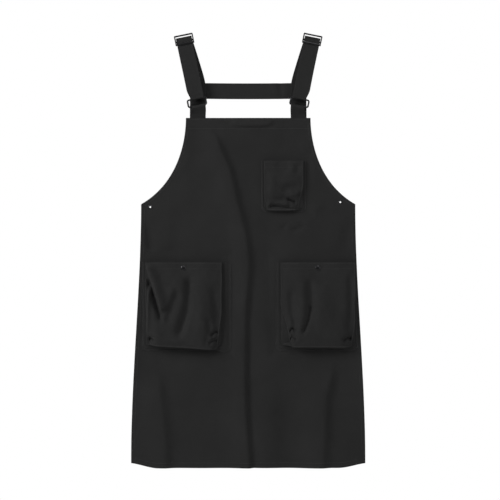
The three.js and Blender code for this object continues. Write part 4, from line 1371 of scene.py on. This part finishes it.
class APRON_OT_pockets(Operator):
    """Makes the bellows pockets: each front with its hems and creases, its folded gusset and its stitching"""

    bl_idname = "apron.pockets"
    bl_label = "Pockets"

    def execute(self, context):
        for name, p in POCKETS.items():
            front = self.front(name, p)
            gusset = self.gusset(name, p)
            sewn = self.stitching(name, p)
        return {"FINISHED"}

    def front(self, name, p):
        """The pocket's front, with a deep mouth hem and turned edges."""
        half = p["half"]
        xs = graded(-half, half, 3.2, 0.9, [-half, half]) + p["x"]
        zs = graded(p["mouth"], p["bottom"], 3.2, 0.9, [p["mouth"], p["mouth"] - 17, p["bottom"]])
        x, z = np.meshgrid(xs, zs)
        inward = np.minimum(half - np.abs(x - p["x"]), z - p["bottom"])
        hem = np.maximum(1 - smooth(inward, 2.6, 4.0), 1 - smooth(p["mouth"] - z, 17.4, 18.8))
        pucker = 0.6 + 0.4 * np.sin(x / 1.7 + 2 * np.sin(x / 17))
        lines = sum(np.exp(-((p["mouth"] - z - down) / 1.1) ** 2) for down in MOUTH_STITCHES)
        ply = bpy.context.scene.apron_cloth.thickness / 2
        thick = ply + 0.4 * hem - 0.22 * pucker * lines * (inward > 3)
        obj = cloth_piece(f"{name}_cloth", pocket_point(name, x, z), twill_material(), thick, ply)
        return settle(obj, f"{name}_opening_side", "twill", f"{name}_front")

    def outline(self, p):
        """Down one side of a pocket, along its bottom and up the other side, with outward directions."""
        half, top, bottom, r = p["half"], p["mouth"], p["bottom"], 7.0
        line = [(-half, top)]
        line += arc(-half + r, bottom + r, r, r, 180, 270, 9)
        line += arc(half - r, bottom + r, r, r, 270, 360, 9)
        line += [(half, top)]
        line = resample(np.array(line), 3.0)
        return line + np.array([p["x"], 0]), beside(line)

    def gusset(self, name, p):
        """The bellows: cloth folded inwards between the front's edge and a flange sewn to the panel."""
        line, outward = self.outline(p)
        left, right = p["flange"]
        rows = []
        # The deeper the pocket, the further its flange reaches below it.
        scale = (p["deep"] - 7) / 18
        inset = 1.4
        for (x, z), (ox, oz) in zip(line, outward):
            fx, fz = x - ox * inset, z - oz * inset
            top = pocket_point(name, np.array(fx), np.array(max(fz, p["bottom"] + 0.5)))
            front = np.array([top[0], top[1] + 0.9, top[2]])
            depth = -front[1]
            tuck = min(0.34 * depth + 2.0, 9.5)
            jitter = 0.9 * math.sin(x / 9 + z / 14)
            beyond = left + (right - left) * float(smooth((x - p["x"]) / p["half"], -1, 1))
            out = 3.0 + beyond * abs(ox) + 9.0 * scale * abs(oz)
            # From the front's edge in to the fold, and out again to the flange: distance outwards, and y.
            bellows = [
                (-0.35 * tuck, -0.82 * depth),
                (-tuck - 0.5 * jitter, -0.6 * depth),
                (-0.9 * tuck - jitter, -0.42 * depth - 0.4),
                (-0.2 * tuck, -0.26 * depth - 0.8),
                (0.4 * out, -2.4 - 0.02 * depth),
            ]
            spots = [(front[0] + ox * 0.5, front[1], front[2] + oz * 0.5)]
            spots += [(x + ox * away, y, z + oz * away) for away, y in bellows]
            flange = [(x + ox * out * s, z + oz * out * s) for s in (0.72, 0.86, 1.0)]
            # The flange stops short of the panel's own side edge.
            flange = [(math.copysign(min(abs(fx), float(half_width(fz)) - 1.5), fx), fz) for fx, fz in flange]
            flange = [(fx, float(panel_front(fx, fz)) - 0.55, fz) for fx, fz in flange]
            rows.append(np.array(spots + flange))
        grid = np.array(rows)
        smooth_grid = np.array([smooth_line(row, 17) for row in grid])
        obj = cloth_piece(f"{name}_gusset_cloth", smooth_grid[:, ::-1], twill_material(), 0.35, 0.35)
        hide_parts(*[f"{name}_gusset_{part}" for part in ("left", "right", "bottom")])
        obj["developed"] = float(np.linalg.norm(np.diff(smooth_grid, axis=1), axis=2).sum(axis=1).mean() * MM)
        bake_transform(obj)
        self.flange_stitching(name, grid)
        return obj

    def flange_stitching(self, name, grid):
        """Two rows of stitches that hold the gusset's flange to the panel."""
        seams = []
        for k, pull in ((-1, 0.25), (-2, 0.1)):
            line = grid[:, k] * (1 - pull) + grid[:, k - 1] * pull
            seams.append(line - np.array([0, 0.42, 0]))
        return stitches(f"{name}_flange_stitching", seams, thread_material(), "apron")

    def stitching(self, name, p):
        """Rows of stitches along the mouth hem and round the turned edges."""
        seams = []
        x = np.linspace(-p["half"] + 3, p["half"] - 3, 70) + p["x"]
        for down in MOUTH_STITCHES:
            seams.append(pocket_point(name, x, np.full(x.shape, p["mouth"] - down)))
        line, outward = self.outline(p)
        inner = line - outward * 2.2
        inner[:, 1] = np.minimum(inner[:, 1], p["mouth"] - 1)
        seams.append(pocket_point(name, inner[:, 0], inner[:, 1]) - np.array([0, 0.25, 0]))
        seams = [s - np.array([0, 0.42, 0]) for s in seams]
        return stitches(f"{name}_stitching", seams, thread_material(), f"{name}_opening_side")


class APRON_OT_snaps(Operator):
    """Makes the snap fasteners: cap, socket, stud and closing disc"""

    bl_idname = "apron.snaps"
    bl_label = "Snaps"

    def execute(self, context):
        for name in ("left_pocket", "right_pocket"):
            p = POCKETS[name]
            x, z = p["x"], p["mouth"] - SNAP_DROP
            y = float(pocket_surface(name, np.array(x), np.array(z))[0])
            base = float(drape(np.array(x), np.array(z)))
            low, _ = node_box(f"{name}_snap_stud")
            tip = -low[1]
            # Radius and height pairs, from the middle of each part's back to the middle of its front.
            cap = [(0, -0.6), (1.3, -0.6), (1.3, 0.5), (5.6, 0.5), (6.15, 0.62), (6.3, 0.95), (6.2, 1.3),
                   (5.7, 1.65), (4.6, 2.15), (3.2, 2.5), (1.6, 2.68), (0, 2.72)]
            socket = [(0, -0.5), (3.0, -0.5), (5.4, -0.6), (5.7, -0.95), (5.6, -1.5), (4.9, -2.2),
                      (4.5, -3.3), (3.0, -3.3), (2.6, -2.9), (2.5, -1.2), (0, -1.1)]
            stud = [(0, -0.35), (5.0, -0.3), (5.2, 0.5), (4.9, 0.95), (2.4, 1.25), (1.9, 1.6),
                    (1.7, tip - 1.4), (2.0, tip - 0.8), (1.7, tip - 0.15), (0, tip)]
            disc = [(0, -0.45), (5.1, -0.5), (5.3, -0.8), (4.9, -1.35), (2.2, -1.6), (1.5, -1.1), (0, -1.0)]
            on_front = ((x, y, z), (0, -0.996, 0.09), f"{name}_opening_side")
            on_panel = ((x, base, z), (0, -1, 0), "apron")
            self.make(f"{name}_cap", cap, *on_front, f"{name}_snap_cap")
            self.make(f"{name}_socket", socket, *on_front, f"{name}_snap_socket")
            self.make(f"{name}_stud", stud, *on_panel, f"{name}_snap_stud")
            self.make(f"{name}_disc", disc, *on_panel, f"{name}_snap_back")
        return {"FINISHED"}

    def make(self, name, profile, centre, axis, body, replaced):
        """One turned part of a snap."""
        part = piece(name, *turned(profile, centre, axis, 48), nickel_material(), sharp=40)
        settle(part, body, "hardware", replaced)


class APRON_PT_sidebar(Panel):
    """Lists the pieces and their settings"""

    bl_idname = "APRON_PT_sidebar"
    bl_label = "Apron"
    bl_space_type = "VIEW_3D"
    bl_region_type = "UI"
    bl_category = "Apron"

    def draw(self, context):
        for operator in OPERATORS:
            self.layout.operator(operator.bl_idname)
        for key, group in SETTINGS.items():
            box = self.layout.box()
            for prop in group.__annotations__:
                box.prop(getattr(context.scene, key), prop)


OPERATORS = (
    APRON_OT_stage, APRON_OT_front_panel, APRON_OT_pockets, APRON_OT_shoulder_straps, APRON_OT_strap_metal,
    APRON_OT_eyelets, APRON_OT_snaps,
)
SETTINGS = {
    "apron_cloth": ApronClothSettings, "apron_webbing": ApronWebbingSettings,
    "apron_metal": ApronMetalSettings, "apron_stage": ApronStageSettings,
}


def register():
    """Registers the settings, operators and panel."""
    for group in (*SETTINGS.values(), *OPERATORS, APRON_PT_sidebar):
        bpy.utils.register_class(group)
    for key, group in SETTINGS.items():
        setattr(bpy.types.Scene, key, PointerProperty(type=group))


def unregister():
    """Removes what register added."""
    for key in SETTINGS:
        delattr(bpy.types.Scene, key)
    for group in reversed((*SETTINGS.values(), *OPERATORS, APRON_PT_sidebar)):
        bpy.utils.unregister_class(group)


def main():
    """Builds the apron."""
    register()
    bpy.ops.apron.stage()
    bpy.ops.apron.front_panel()
    bpy.ops.apron.pockets()
    bpy.ops.apron.shoulder_straps()
    bpy.ops.apron.strap_metal()
    bpy.ops.apron.eyelets()
    bpy.ops.apron.snaps()


if __name__ == "__main__":
    main()
